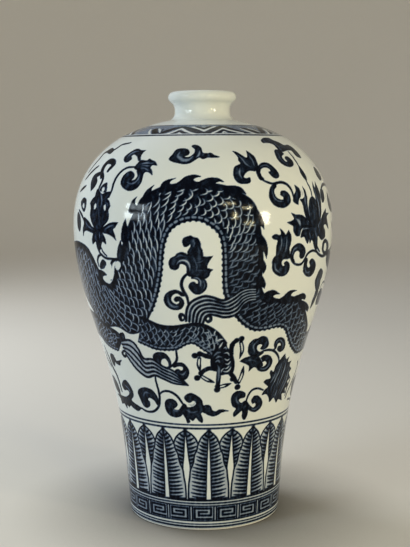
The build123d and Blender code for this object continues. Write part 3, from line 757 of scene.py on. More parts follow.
# Paler streaks over the leaves: width in millimetres, tone, then the line
STREAK_PIXELS = {
    "cloud_light": (2.4, 0.34, [(193, 156), (188, 160), (182, 159.5), (178, 156), (180, 152)]),
    "cloud_edge": (1.3, 0.22, [(200, 150), (199, 154.5), (196, 157.5)]),
    "comma_light": (1.0, 0.28, [(127, 182.3), (131, 183.7), (135, 182.5), (138.6, 178.5), (139.2, 173)]),
    "crown_curl": (0.7, 0.35, [(105.5, 202.3), (107.7, 204), (107.3, 208)]),
    "crown_vein": (0.7, 0.55, [(99, 196), (98, 205), (99, 216), (99.5, 225)]),
    "crown_vein_left": (0.7, 0.6, [(93.5, 211), (94.5, 219), (97.5, 225)]),
    "spray_light": (
        1.3, 0.1,
        [(176.8, 264.2), (179.2, 261.2), (183.6, 260.3), (187.8, 262.2), (189.6, 266), (190, 271)],
    ),
    "spray_vein": (0.8, 0.42, [(192.8, 255.5), (195, 261), (196.8, 266.5), (196, 272)]),
    "spray_vein_2": (0.7, 0.5, [(196.5, 262.5), (200.5, 262), (204.5, 259.5)]),
    "spray_vein_3": (0.7, 0.5, [(196.6, 270), (200.5, 270.5), (206, 270.5)]),
    "left_comma_light": (1.4, 0.38, [(168, 298), (169, 303), (173.5, 306.8), (178.5, 306.3)]),
    "right_comma_light": (0.9, 0.14, [(193.3, 277.6), (197.6, 278.2), (200.4, 281.2), (200.4, 286)]),
    "right_comma_light_2": (0.8, 0.34, [(203.8, 281.6), (204.8, 285.5), (203.4, 289)]),
    "spray_curl_light": (0.7, 0.35, [(260.5, 166.3), (265.5, 165.2), (270.5, 168)]),
    "wave_light": (0.9, 0.33, [(272.5, 192), (274, 197.5), (278.5, 201), (283.5, 201)]),
    "bud_light": (0.9, 0.6, [(312, 201), (314, 210), (314.5, 220)]),
    "right_leaf_light": (0.9, 0.45, [(295, 218), (298, 221), (300, 226)]),
    "trefoil_vein": (0.8, 0.6, [(284.5, 238), (283.5, 246), (281, 254)]),
    "top_comma_light": (1.2, 0.5, [(278, 153), (280.5, 159), (285, 163.5)]),
    "hook_light": (1.0, 0.5, [(272, 143), (279, 146), (287, 148.5)]),
    "low_comma_light": (1.3, 0.42, [(143.5, 396), (145.5, 392.3), (150, 393.5)]),
    "cluster_light": (1.1, 0.16, [(188.5, 404.3), (193, 405.2), (195.8, 401.5)]),
    "cluster_vein": (1.3, 0.5, [(186, 409.5), (192, 412.5), (198, 411)]),
    "left_cluster_light": (1.0, 0.4, [(172, 407), (175, 410.7), (180, 410.5)]),
    "right_curl_light": (1.1, 0.3, [(254.5, 352), (253.5, 346), (257, 341.5)]),
    "right_star_vein": (0.9, 0.5, [(246, 361), (252, 360), (257, 362)]),
    "foot_leaf_light": (1.0, 0.42, [(237, 396), (236.5, 401), (240.5, 404.5)]),
    "foot_comma_light": (0.9, 0.4, [(250.5, 408.3), (255, 409.3), (259, 405)]),
    "feather_1": (0.8, 0.5, [(284.5, 360), (281, 372), (276, 386), (271, 396)]),
    "feather_2": (0.8, 0.5, [(288, 364), (285, 377), (280, 389), (275.5, 398)]),
    "feather_3": (0.8, 0.5, [(280.5, 363), (277, 373), (272, 382)]),
    "bud_gap_left": (1.0, 0.06, [(307.6, 194), (307.3, 201), (308.2, 208), (309.6, 216)]),
    "bud_gap_right": (0.9, 0.08, [(316.2, 196), (318.2, 203), (319.2, 211), (319.3, 218)]),
    "petal_gap_low": (0.8, 0.1, [(301, 230.5), (305, 228.5), (309, 228.5)]),
    "petal_gap_side": (0.8, 0.12, [(320, 221), (318.3, 226), (319.5, 230)]),
    "petal_vein_1": (0.9, 0.3, [(304, 192), (304.8, 199), (306.5, 208)]),
    "petal_vein_2": (0.9, 0.3, [(313.5, 186), (315.5, 194), (317.5, 202)]),
    "petal_vein_3": (0.9, 0.34, [(309, 232), (310.5, 237.5)]),
    "petal_vein_4": (0.9, 0.34, [(315, 230), (316.5, 238)]),
    "star_light": (1.6, 0.1, [(301.3, 190.5), (302.3, 193), (302, 196)]),
    "left_leaf_patch": (2.2, 0.22, [(296.5, 219), (299, 221.5), (300.5, 225.5)]),
    "trefoil_gap_1": (0.8, 0.2, [(281, 236), (281.6, 243), (280.4, 250)]),
    "trefoil_gap_2": (0.8, 0.2, [(286.6, 236.5), (286.6, 244), (285, 252)]),
    "trefoil_light": (1.2, 0.3, [(274.8, 263), (275.5, 269), (279.5, 272.6)]),
    "trefoil_top_light": (0.9, 0.3, [(292.3, 255), (293.8, 249.5), (298, 247)]),
    "trefoil_right_light": (0.8, 0.3, [(304.8, 268), (306.5, 272.5), (310, 271.5)]),
    "lotus_gap": (0.9, 0.16, [(100.5, 193), (101.8, 198), (101.6, 205)]),
    "lotus_gap_low": (0.8, 0.2, [(99.8, 232), (99.6, 239)]),
    "lotus_leaf_light": (0.9, 0.3, [(105, 229.3), (109, 226.7), (114, 224.8)]),
    "lotus_leaf_left_light": (0.9, 0.3, [(85.5, 221), (88, 226), (93, 229.5)]),
    "star_leaf_light_1": (1.1, 0.24, [(141, 164), (146, 163), (152, 163.3)]),
    "star_leaf_light_2": (0.9, 0.3, [(141, 168), (145.5, 168.5), (149, 171.3)]),
    "star_leaf_light_3": (0.9, 0.3, [(142.5, 165.5), (147.5, 165.8), (151, 166)]),
    "upper_hook_light": (1.1, 0.3, [(127, 158.5), (129.5, 155), (134, 152), (138.5, 151.3)]),
    "spray_left_light": (1.1, 0.3, [(237, 154.5), (241.5, 158.5), (246, 164), (251, 167)]),
    "spray_left_light_2": (0.9, 0.3, [(248.5, 155), (252, 160), (254.5, 166)]),
    "spray_bulb_light": (1.2, 0.26, [(240, 168), (239.5, 173.5), (242, 178.5)]),
    "window_tip_light": (0.7, 0.55, [(197.6, 246), (199, 251), (199, 256)]),
    "window_top_light": (0.8, 0.42, [(192.8, 239.8), (194.5, 243), (193.6, 247)]),
    "window_side_light": (0.8, 0.4, [(175.6, 257.6), (180.5, 255.4), (185, 256.6)]),
    "hanging_light": (0.9, 0.3, [(319, 274), (317.5, 280), (317, 286)]),
    "low_curl_light": (1.1, 0.36, [(179.5, 373.5), (183, 374.5), (185.8, 371.5)]),
    "low_rim_light": (1.0, 0.3, [(124, 384), (128, 388), (131.5, 394)]),
    "right_ring_light": (0.9, 0.32, [(260, 368.3), (264.5, 368.8), (268.5, 365), (269.3, 360.5)]),
    "right_small_light": (0.8, 0.32, [(276.3, 342), (279.5, 339.8), (282.6, 342.5), (282.5, 347)]),
    "feather_4": (0.9, 0.12, [(286.3, 359), (284.4, 369), (280.8, 379), (277, 387)]),
    "feather_5": (0.9, 0.12, [(289.3, 366), (286.5, 378), (282.5, 388), (279.5, 394)]),
    "feather_6": (0.9, 0.14, [(282.3, 361.5), (279, 371), (275, 380), (271.5, 387)]),
    "feather_7": (0.8, 0.16, [(275.8, 372), (273.3, 378), (270, 383)]),
    "feather_8": (0.8, 0.2, [(277.5, 389), (275, 395), (274.3, 399)]),
}

# The dragon's body over the front, as ribs from its back to its belly in the photograph
BODY_PIXELS = [
    [(76, 242), (84, 292)], [(85, 246), (90, 304)], [(92, 256), (98, 318)], [(98, 269), (107, 326)],
    [(104, 280), (118, 327)], [(109, 285), (131, 334)], [(113, 282), (144, 330)],
    [(115, 275), (149, 318)], [(116, 265), (154, 307)], [(120, 254), (158.5, 293)],
    [(124.5, 242), (161.5, 277)], [(128, 230), (162.8, 262)], [(132, 219), (164, 249)],
    [(137, 209), (166.5, 239)], [(142, 199), (170.5, 231)], [(151, 193), (176, 226)],
    [(161, 188), (183, 222.5)], [(173, 185), (190, 221)], [(186, 184), (196, 220.8)],
    [(200, 183), (203, 222)], [(215, 184.5), (209, 225.5)], [(230, 188), (215, 230)],
    [(243, 195), (219, 235)], [(252, 202), (221.3, 242)], [(257, 212), (222.5, 250)],
    [(259, 225), (222.8, 259)], [(261, 238), (222.8, 268)], [(262, 250), (222.8, 277)],
    [(262, 263), (223, 286)], [(261, 276), (224, 294)], [(260.5, 287), (227, 302)],
    [(264, 295), (233, 313)], [(270, 298), (241, 323)], [(279, 300), (252, 330)],
    [(288, 299.5), (264, 330)], [(296, 299), (277, 327)], [(302, 303), (284, 329)],
    [(305, 312), (287, 336)], [(306.5, 319), (289, 343)], [(307, 326), (292, 349)],
    [(306.5, 333), (297, 353)],
]

# The flames along its back
FLAME_PIXELS = {
    "over_1": [
        (142, 204), (143, 197), (146, 191.5), (149, 188.5), (154.3, 185), (154.3, 185), (151.7, 189),
        (152.5, 192), (158, 192), (158, 198), (148, 203),
    ],
    "over_2": [
        (157, 193), (160, 190), (161, 185.5), (163.5, 182), (168, 179.7), (175.8, 178.2), (175.8, 178.2),
        (171, 180.7), (170, 183.5), (173.5, 185.3), (178, 184), (178, 190), (165, 192),
    ],
    "over_3": [
        (174, 186), (180, 181), (184, 177.5), (189, 175.5), (195, 174.8), (201, 176.5), (201, 176.5),
        (196, 177.6), (193.2, 179.8), (196.5, 182), (201, 182), (200, 188), (184, 189),
    ],
    "over_4": [
        (199, 183), (204, 179.5), (210, 177.7), (217, 178), (221, 179.8), (224, 182), (224, 182),
        (219, 181.5), (215.3, 183.3), (219, 185.3), (223, 186.7), (222, 191), (208, 189),
    ],
    "over_5": [
        (221, 187.5), (228, 186), (236, 186), (242, 188.5), (246.3, 194.5), (246.3, 194.5),
        (241.5, 192.6), (237.5, 192.6), (240, 195), (246, 198), (244, 202), (230, 196),
    ],
    "left_1": [
        (129, 212), (130.5, 205), (133, 200), (137.3, 196.5), (137.3, 196.5), (135, 201), (135.5, 205.5),
        (138, 207), (135, 213),
    ],
    "left_2": [
        (121.6, 241), (121.8, 231), (123.3, 224), (125.8, 218.7), (125.8, 218.7), (126.6, 224.5),
        (128.6, 228), (131.5, 229), (128, 242),
    ],
    "left_3": [
        (118, 260), (117.8, 249), (120.7, 240.2), (120.7, 240.2), (122, 246.5), (124.6, 249), (128, 250),
        (126, 260),
    ],
    "left_4": [
        (98, 271), (101, 269.8), (105, 271.8), (107.6, 275.5), (107.6, 275.5), (104, 275.5), (103, 279),
        (105, 284), (100, 284),
    ],
    "right_1": [
        (257, 210), (261, 215.5), (263.5, 222), (264.3, 229.5), (264.3, 229.5), (261, 226), (257, 227),
        (254, 216),
    ],
    "right_2": [
        (257, 231), (262, 235.5), (265.7, 241), (267.7, 250), (266.3, 258.5), (266.3, 258.5), (264, 252),
        (260, 251), (256, 240),
    ],
    "right_3": [
        (259, 254), (263, 259.5), (266, 265.5), (265.3, 270), (263.3, 273.5), (263.3, 273.5),
        (261.5, 268.5), (258, 268),
    ],
    "right_4": [
        (259, 273), (263, 277.5), (265.3, 283), (264.5, 288.5), (264.5, 288.5), (260.5, 286), (256, 286),
    ],
    "hind_1": [
        (260, 298), (265, 293), (269.5, 290.7), (274.3, 290.4), (279.6, 294), (279.6, 294), (275, 294.6),
        (273, 297), (276, 299.5), (272, 304), (264, 302),
    ],
    "hind_2": [
        (277, 301), (283, 296.5), (287, 292.7), (291, 290.3), (296.6, 290.4), (296.6, 290.4),
        (292.3, 292.7), (291, 295.8), (295, 297.5), (293, 302), (284, 304),
    ],
    "hind_3": [
        (293, 298), (299, 294.6), (303.3, 293.4), (305.8, 296), (304.6, 299.6), (304.6, 299.6),
        (301.5, 299), (301, 304),
    ],
    "hind_4": [
        (300, 301), (305.5, 302.3), (308.5, 307), (307.3, 311.7), (307.3, 311.7), (304.5, 309),
        (301, 310),
    ],
}

# The white oval in the curl at its left shoulder, and the bare places beside it
SHOULDER_CURL_PIXELS = [
    (111, 279), (111, 266), (113, 261), (117, 259.3), (120.5, 261), (121.7, 265), (120, 270),
]

SHOULDER_EYE_PIXELS = [
    (115, 264), (117, 261), (120, 262), (121, 266), (119, 270), (117, 270), (115.3, 267.5),
]

SHOULDER_GAP_PIXELS = [
    (98.5, 269), (104, 268.5), (107, 264), (111, 264), (112.5, 272), (112.5, 279), (109, 280),
    (107.3, 283), (104, 280), (103.3, 277), (107, 275), (103, 271),
]

# Its legs, from edge to edge, and the feet
FORELEG_PIXELS = [
    [(143, 317), (138, 342)], [(151, 321.5), (147, 346)], [(161, 325.5), (158, 350)],
    [(173, 326.5), (176, 350)], [(185, 325), (186, 345)], [(196, 323.5), (194, 344)],
    [(207, 326), (203, 350)], [(218, 333), (210, 355)], [(226, 343), (213, 362)],
]

HIND_LEG_PIXELS = [
    [(78, 300), (86, 330)], [(88, 306), (95, 332)], [(98, 316), (101, 336)], [(108, 326), (106, 343)],
    [(118, 333), (112, 348)], [(122.5, 340), (119, 351)],
]

FOOT_PIXELS = [
    (211.3, 356.5), (213.5, 351), (217, 346), (222, 341.5), (226, 342), (227.5, 348), (231.5, 351),
    (233.5, 357), (234.5, 363), (234, 369.5), (231.6, 374), (225.7, 374.3), (221.2, 375), (216.5, 371.5),
    (211.6, 368), (210.4, 362),
]

# The pale touches over the leg and the foot: width in millimetres, tone, then the line
FOOT_TOUCH_PIXELS = [
    (1.5, 0.12, [(224.3, 353.2), (227.5, 352.8), (229.4, 355.5)]),
    (1.5, 0.12, [(224.6, 358.6), (227, 360.2), (229.6, 358.8)]),
    (1.5, 0.12, [(225.2, 363.8), (228, 364), (230.6, 361.3)]),
    (1.7, 0.1, [(222.9, 371.3), (226.5, 371.6), (229.4, 369.7), (230.9, 367)]),
    (1.4, 0.16, [(224.8, 368.8), (227.2, 368), (229, 365.8)]),
    (1.4, 0.16, [(221.2, 372.5), (221.9, 370), (224.3, 368)]),
    (2.0, 0.42, [(214, 356), (217, 352.8), (220.6, 352.2)]),
    (1.8, 0.4, [(215.2, 362), (218, 360.6), (220, 362.6)]),
    (1.8, 0.42, [(215.6, 358.6), (218.6, 356.6), (222, 357.2)]),
    (2.4, 0.48, [(217.6, 365), (219, 369), (218.8, 375), (218.2, 381)]),
    (1.5, 0.1, [(214.2, 334.6), (214.7, 332.4), (215.8, 330.7)]),
    (1.3, 0.2, [(208.4, 331.6), (208.8, 335), (210.6, 339.4)]),
    (1.4, 0.14, [(215.9, 342), (216.3, 338.6), (217.2, 335.6)]),
    (1.6, 0.1, [(217.6, 340.4), (220.4, 339.5), (223.2, 339.2)]),
    (1.6, 0.1, [(219, 348), (220.8, 345.4), (222.8, 342.2)]),
    (1.3, 0.24, [(223.6, 348.6), (225.6, 347.2), (226.4, 349.4)]),
    (2.0, 0.38, [(194, 341.2), (196.4, 339.4), (198.6, 339.4)]),
    (2.0, 0.38, [(198.2, 343.8), (200.6, 341.8), (202.8, 342)]),
    (2.0, 0.36, [(202.4, 346.4), (204.4, 344.2), (206.4, 344.4)]),
    (2.0, 0.36, [(206, 349), (208, 346.8), (210, 347.4)]),
    (2.0, 0.36, [(209.6, 352), (211.4, 349.6), (213.4, 350.4)]),
]

# Each toe: the finger's line, the knuckle's middle, then the claw's line to its point
TOE_PIXELS = {
    "upper": (
        [(231.5, 354), (231.3, 348.5), (233, 343.5), (237, 340.3)], (241.3, 338.8),
        [(240.9, 342), (242, 350), (239.6, 358.4)],
    ),
    "left": (
        [(213, 357.5), (207, 356.4), (202, 354.4), (199.5, 354.8)], (194.8, 355.7),
        [(199.3, 358.5), (198.9, 364.5), (200.2, 371.4)],
    ),
    "lower_left": (
        [(216, 369.5), (210, 368.3), (205, 370), (200.5, 373.5)], (197.2, 377.9),
        [(201.3, 376.2), (207.5, 379.9), (214.3, 382.4)],
    ),
    "bottom": (
        [(218.8, 371), (218.5, 377), (217.9, 384)], (217.1, 389.7),
        [(217.5, 387.2), (223.5, 385.9), (230.9, 383.5)],
    ),
    "right": (
        [(229.5, 372.5), (233, 376.5), (236, 382)], (237.3, 387),
        [(238.7, 382.3), (241.7, 375), (243.5, 366.2)],
    ),
}

KNOB_PIXELS = [
    (206.8, 356), (199.6, 353.6), (201, 373), (232.2, 345), (236.4, 340.4), (232.4, 379), (217.4, 386.4),
]

# Tufts of hair, each between an upper and a lower line, with how many locks it has
TUFT_PIXELS = {
    "elbow": (
        5,
        [
            (186, 321), (187, 309), (192, 301.5), (203, 296.5), (212, 297.2), (223, 300.4), (233, 296),
            (241, 290.6), (248, 288.4), (256, 288.2),
        ],
        [
            (203, 323), (205.5, 317), (210, 314.5), (217, 315.6), (224, 317.2), (232, 316.1),
            (238.7, 312.4), (244.2, 305), (250, 301.4), (256, 300.4),
        ],
    ),
    "knee": (
        4,
        [
            (121, 341), (128, 340), (134, 343), (139, 350), (144, 358.5), (153, 359.5), (163, 366.5),
            (175, 372), (188, 385),
        ],
        [
            (126, 354), (130, 360), (135, 367), (141, 373), (148, 377), (155, 375.3), (163, 378.5),
            (174, 383.3), (188, 385.3),
        ],
    ),
}

# One unit of the collar's band, from one dot to the next: width in millimetres, tone, then the line
COLLAR_PIXELS = [
    (6.5, 1.0, [(157, 133.6), (162, 132.9), (170, 130.2), (176, 128.3), (181, 127.2)]),
    (
        11.0, 0.97,
        [
            (183, 127.8), (190, 129.6), (197, 131.8), (203.6, 132.6), (210, 131.3), (217, 128.7),
            (222.7, 127.4),
        ],
    ),
    (6.0, 1.0, [(221, 126.5), (226, 127.6), (233, 129.6), (241, 131.9), (248, 133.3)]),
    (
        3.4, 0.02,
        [
            (164.5, 134.9), (172, 132.6), (177, 130.6), (181.8, 128.6), (186, 131.0), (190, 132.6),
            (195, 133.9),
        ],
    ),
    (3.4, 0.02, [(211.5, 133.8), (217, 131.3), (223.3, 128.3), (229, 130.0), (236, 131.6), (243, 133.0)]),
    (3.6, 0.02, [(193, 127.2), (198, 128.5), (204, 130.8), (209, 128.4), (214.5, 126.7)]),
    (3.6, 1.0, [(168, 135.0), (174, 133.3), (179.3, 131.0), (184, 132.9), (190, 134.4)]),
    (3.6, 1.0, [(215.5, 133.9), (220, 131.9), (223.4, 130.0), (229, 131.7), (236.5, 133.4)]),
    (3.6, 1.0, [(197, 126.8), (204, 128.7), (210, 126.6)]),
    (2.4, 0.04, [(178.5, 133.9), (179.3, 132.8), (180.6, 133.7)]),
    (2.4, 0.04, [(223, 132.6), (224.2, 131.5), (226, 132.4)]),
    (2.0, 0.04, [(203, 126.9), (204.6, 127.2)]), (7.4, 1.0, [(155, 129.6), (155, 133.6)]),
    (2.6, 0.02, [(150.8, 129.6), (149.4, 132), (150, 135.3)]),
    (2.4, 0.02, [(159.2, 128.9), (160.2, 130.6), (160.0, 132.4)]),
    (1.8, 1.0, [(163.5, 129.4), (161.8, 131.2)]), (1.8, 1.0, [(241, 127.8), (243.2, 129.2)]),
]

# The dragon's neck and its tail behind, as ribs in the back's flat drawing, in millimetres
NECK_MM = [
    [(66, 266), (54, 238)], [(82, 267), (72, 229)], [(98, 259), (91, 217)], [(113, 247), (110, 204)],
    [(128, 239), (130, 193)], [(143, 240), (151, 189)], [(157, 249), (169, 194)],
    [(170, 261), (184, 204)], [(182, 266), (195, 212)],
]

TAIL_MM = [
    [(-203, 190), (-207, 168)], [(-192, 179), (-197, 158)], [(-177, 172), (-173, 153)],
    [(-162, 172), (-151, 157)], [(-150, 179), (-136, 169)], [(-141, 190), (-127, 185)],
    [(-136, 200), (-125, 199)], [(-131, 214), (-125, 214)],
]

TAIL_FLAME_MM = [
    (-136, 206), (-142, 220), (-139, 234), (-129, 249), (-129, 249), (-128, 235), (-124, 232),
    (-117, 243), (-117, 243), (-115, 229), (-112, 226), (-104, 232), (-104, 232), (-107, 219),
    (-116, 208), (-124, 203),
]

# The dragon's head, which faces left
HEAD_MM = {
    "skull": [
        (68, 262), (64, 276), (54, 285), (43, 286), (35, 280), (25, 276), (15, 278), (8, 285), (0, 284),
        (-5, 275), (-3, 266), (4, 262), (14, 264), (24, 261), (34, 256), (42, 250), (54, 238), (62, 245),
    ],
    "jaw": [
        (46, 250), (36, 247), (24, 248), (13, 251), (4, 250), (0, 245), (6, 239), (19, 236), (34, 235),
        (48, 234), (58, 238),
    ],
    "ear": [(60, 272), (66, 280), (75, 283), (84, 279), (84, 279), (77, 272), (68, 267)],
    "brow": [(34, 281), (38, 288), (46, 291), (55, 297), (55, 297), (55, 289), (51, 283), (42, 284)],
    "upper_fang": [(7, 264), (8.5, 256), (8.5, 256), (11.5, 263)],
    "lower_fang": [(9, 250), (11, 257), (11, 257), (14, 250)],
}

HEAD_STEMS_MM = {
    "horn": (5.0, [(54, 283), (64, 293), (77, 297), (92, 294), (103, 297)]),
    "far_horn": (4.0, [(48, 286), (57, 299), (70, 306), (86, 306), (96, 311)]),
    "whisker": (1.8, [(0, 281), (-12, 289), (-15, 301), (-6, 310), (4, 306), (3, 298)]),
    "far_whisker": (1.6, [(-3, 268), (-16, 262), (-27, 268), (-30, 279), (-24, 285)]),
    "tongue": (3.0, [(32, 253), (22, 255), (13, 257), (5, 255)]),
    "cheek_spike": (3.4, [(54, 248), (64, 240), (73, 238)]),
}

HEAD_STREAKS_MM = {
    "lip": (1.0, 0.1, [(4, 266), (14, 267.5), (25, 264), (36, 259)]),
    "nose": (1.2, 0.08, [(3, 279), (0, 275), (4, 272)]),
    "cheek": (1.1, 0.12, [(52, 264), (46, 258), (47, 250)]),
    "far_cheek": (1.1, 0.12, [(59, 263), (54, 256), (56, 248)]),
    "jaw_line": (0.9, 0.15, [(8, 244), (22, 241.5), (38, 241)]),
    "forehead": (1.0, 0.15, [(48, 279), (55, 276), (60, 269)]),
    "snout_1": (0.7, 0.2, [(14, 274), (13, 269)]),
    "snout_2": (0.7, 0.2, [(20, 273), (19, 267)]),
    "snout_3": (0.7, 0.2, [(26, 272), (25, 266)]),
    "horn_light": (0.9, 0.3, [(60, 290), (72, 296), (86, 295)]),
}

EYE_MM = (40.5, 276.0)

EYE_WIDTH = 8.0

PUPIL_WIDTH = 3.4

# Hair behind: the mane, the beard and the tuft at the leg
BACK_TUFTS_MM = {
    "mane": (
        6, [(60, 284), (76, 292), (94, 288), (110, 276), (126, 274), (142, 285), (158, 304)],
        [(68, 262), (82, 267), (97, 262), (112, 252), (129, 255), (146, 272), (159, 303)],
    ),
    "beard": (
        4, [(8, 240), (0, 230), (-10, 225), (-21, 228), (-30, 222)],
        [(40, 236), (30, 222), (14, 212), (-8, 214), (-29, 221)],
    ),
    "elbow_behind": (
        4, [(136, 176), (150, 166), (164, 163), (178, 168), (192, 160)],
        [(128, 164), (146, 150), (164, 147), (180, 153), (192, 159)],
    ),
}

# The flaming pearl
PEARL_MM = (-62.0, 262.0)

PEARL_RADIUS = 14.0
PEARL_RIM = 1.8
PEARL_STEPS = 36
PEARL_FLAME_TONE = 0.85
# Its spiral: from what share of the radius to what, and how often round
SPIRAL_SHARES = (0.66, 0.10)
SPIRAL_TURNS = 1.6
SPIRAL_BRUSH = dict(width=3.2, tone=0.9, taper=(0.3, 0.9))

PEARL_FLAMES_MM = {
    "low": [
        (-49, 252), (-40, 250), (-33, 243), (-24, 241), (-24, 241), (-30, 250), (-37, 258), (-47, 261),
    ],
    "right": [
        (-47, 262), (-38, 264), (-29, 261), (-20, 264), (-20, 264), (-30, 270), (-39, 274), (-49, 270),
    ],
    "high": [
        (-51, 272), (-44, 279), (-36, 281), (-30, 290), (-30, 290), (-42, 290), (-52, 285), (-58, 277),
    ],
    "top": [
        (-62, 277), (-60, 286), (-64, 294), (-58, 304), (-58, 304), (-71, 297), (-73, 286), (-70, 276),
    ],
    "left": [
        (-74, 270), (-80, 276), (-89, 277), (-93, 286), (-93, 286), (-98, 274), (-90, 264), (-77, 262),
    ],
}

# What repeats round the back: how far it is turned, then what the names of its motifs begin with
BACK_REPEATS = (
    (
        150.0,
        (
            "cloud", "upper_hook", "star_leaf", "big_comma", "comma_", "left_hook", "teardrop",
            "far_left_bud",
        ),
    ),
    (143.0, ("spray_", "wave_", "top_right")), (205.0, ("spray_", "wave_", "top_right", "cloud")),
    (
        66.0,
        (
            "right_star", "right_long", "right_bud", "right_upper", "right_thin", "right_side",
            "right_left", "right_low",
        ),
    ),
    (73.0, ("trefoil", "hanging")), (-52.0, ("lotus", "crown", "sepal", "neck_curl")),
    (
        165.0,
        ("low_curl", "low_ring", "low_stem", "low_left", "low_middle", "low_cluster", "foot_", "cluster"),
    ),
    (97.0, ("right_curl", "right_star_leaves", "right_ring", "right_small", "right_spray", "feather")),
    (240.0, ("low_left", "low_cluster", "low_middle", "foot_", "cluster")),
    (112.0, ("low_left", "low_middle")),
    (144.0, ("right_curl", "right_ring", "right_small", "right_spray")),
)

FAR_LEG_MIRROR = 221.0

# What ends the leaves and stems that pass out of the photograph's sight at its right side
SIDE_LEAVES_MM = {
    "upper_comma_end": [(-218, 254), (-211, 252), (-204, 246), (-201, 239), (-206, 233), (-218, 232)],
    "lower_comma_end": [
        (-217, 223), (-210, 224), (-203, 219), (-199, 211), (-201, 204), (-207, 200), (-217, 199),
    ],
}

SIDE_STEMS_MM = {
    "stem_end": (
        2.2, [(-214, 316), (-205, 313), (-198, 305), (-197, 295), (-203, 290), (-208, 295), (-204, 301)],
    ),
    "loop_end": (
        2.2, [(-216, 256), (-213, 268), (-208, 277), (-199, 280), (-193, 273), (-197, 266), (-202, 270)],
    ),
}


# The glaze's skin

def seam_loop(node):
    """The section of a turned CAD node in the half plane of +X, as (radius, height) in order."""
    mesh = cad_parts[node].data
    keys = {}
    for vertex in mesh.vertices:
        if abs(vertex.co.y) < SEAM_SLACK and vertex.co.x > 0:
            keys[vertex.index] = (round(vertex.co.x, SEAM_DIGITS), round(vertex.co.z, SEAM_DIGITS))
    beside = {key: set() for key in keys.values()}
    for edge in mesh.edges:
        a, b = (keys.get(index) for index in edge.vertices)
        if a and b and a != b:
            beside[a].add(b)
            beside[b].add(a)
    start = min(beside, key=lambda key: key[1])
    loop = [start, max(beside[start], key=lambda key: key[0])]
    while len(loop) < len(beside):
        loop.append(next(key for key in beside[loop[-1]] if key != loop[-2]))
    return np.array(loop)


def lengths_along(points):
    """The distance of each point of a path from its start."""
    steps = np.linalg.norm(np.diff(points, axis=0), axis=1)
    return np.concatenate([[0.0], np.cumsum(steps)])


def smooth_at(points, along, places):
    """Points of the smooth curve through a path, at distances along it."""
    slope = np.gradient(points, along, axis=0)
    index = np.clip(np.searchsorted(along, places) - 1, 0, len(along) - 2)
    span = (along[index + 1] - along[index])[:, None]
    t = ((places - along[index]) / (along[index + 1] - along[index]))[:, None]
    start, end = points[index], points[index + 1]
    out, back = slope[index] * span, slope[index + 1] * span
    return (
        (2 * t**3 - 3 * t**2 + 1) * start + (t**3 - 2 * t**2 + t) * out
        + (3 * t**2 - 2 * t**3) * end + (t**3 - t**2) * back
    )


def skin_rows():
    """The skin's section as rows of (radius, height), and how many of them carry the painting."""
    loop = seam_loop("outer_glaze")
    bore_foot = int(np.lexsort((loop[:, 1], loop[:, 0]))[0])
    visible, hidden = loop[: bore_foot + 1], loop[bore_foot + 1:]
    along = lengths_along(visible)
    top = along[np.argmax(visible[:, 1] > PAINTED_TOP)]
    painted = np.arange(0.0, top, PAINTED_STEP)
    plain = np.linspace(top, along[-1], int((along[-1] - top) / PLAIN_STEP))
    rows = smooth_at(visible, along, np.concatenate([painted, plain]))
    return np.vstack([rows, hidden]), len(painted)


def row_normals(rows):
    """The outward directions of a closed section's rows, as (radius, height)."""
    ahead = np.roll(rows, -1, axis=0) - rows
    behind = rows - np.roll(rows, 1, axis=0)
    ahead /= np.linalg.norm(ahead, axis=1)[:, None]
    behind /= np.linalg.norm(behind, axis=1)[:, None]
    along = ahead + behind
    along /= np.linalg.norm(along, axis=1)[:, None]
    return np.stack([along[:, 1], -along[:, 0]], axis=1)


ROWS, PAINTED_ROWS = skin_rows()
NORMALS = row_normals(ROWS)
ROW_RADIUS = ROWS[:PAINTED_ROWS, 0] / MM
ROW_HEIGHT = ROWS[:PAINTED_ROWS, 1] / MM
ROW_ALONG = lengths_along(ROWS[:PAINTED_ROWS]) / MM
COLUMN_ANGLE = np.arange(COLUMNS) * 360.0 / COLUMNS - 180.0
ink = np.zeros((PAINTED_ROWS, COLUMNS), np.float32)


# From the photograph's frame to the skin

def camera_matrix():
    """The camera's place in the row frame."""
    tilt = Matrix.Rotation(math.pi / 2 - CAMERA_PITCH, 4, "X")
    roll = Matrix.Rotation(-CAMERA_ROLL, 4, "Z")
    return Matrix.Translation((0, -CAMERA_DISTANCE, CAMERA_HEIGHT)) @ (tilt @ roll)


def camera_rays(pixels):
    """The directions in which the camera sees pixels of the photograph."""
    pixels = np.asarray(pixels, float)
    across = (pixels[:, 0] - PHOTO_WIDTH / 2 + AXIS_SHIFT_PIXELS) / FOCAL_PIXELS
    up = (PHOTO_HEIGHT / 2 - pixels[:, 1]) / FOCAL_PIXELS
    rays = np.stack([across, up, -np.ones(len(pixels))], axis=1)
    return rays @ np.array(camera_matrix().to_3x3()).T


def on_skin(pixels):
    """Where pixels of the photograph fall on the skin, as (angle, distance up the skin)."""
    rays = camera_rays(pixels)
    rays /= np.linalg.norm(rays, axis=1)[:, None]
    depths = np.linspace(SIGHT_NEAR, SIGHT_FAR, SIGHT_STEPS)
    eye = np.array([0.0, -CAMERA_DISTANCE, CAMERA_HEIGHT])
    places = (eye + rays[:, None, :] * depths[None, :, None]) / MM
    reach = np.hypot(places[..., 0], places[..., 1])
    gap = reach - np.interp(places[..., 2], ROW_HEIGHT, ROW_RADIUS)
    outside = (places[..., 2] < ROW_HEIGHT[0]) | (places[..., 2] > ROW_HEIGHT[-1])
    gap = np.where(outside, FAR_OFF_MM, gap)
    hit = gap < 0
    first = np.where(hit.any(axis=1), hit.argmax(axis=1), gap.argmin(axis=1))
    spot = places[np.arange(len(rays)), first]
    angle = np.degrees(np.arctan2(spot[:, 0], -spot[:, 1]))
    return np.stack([angle, np.interp(spot[:, 2], ROW_HEIGHT, ROW_ALONG)], axis=1)


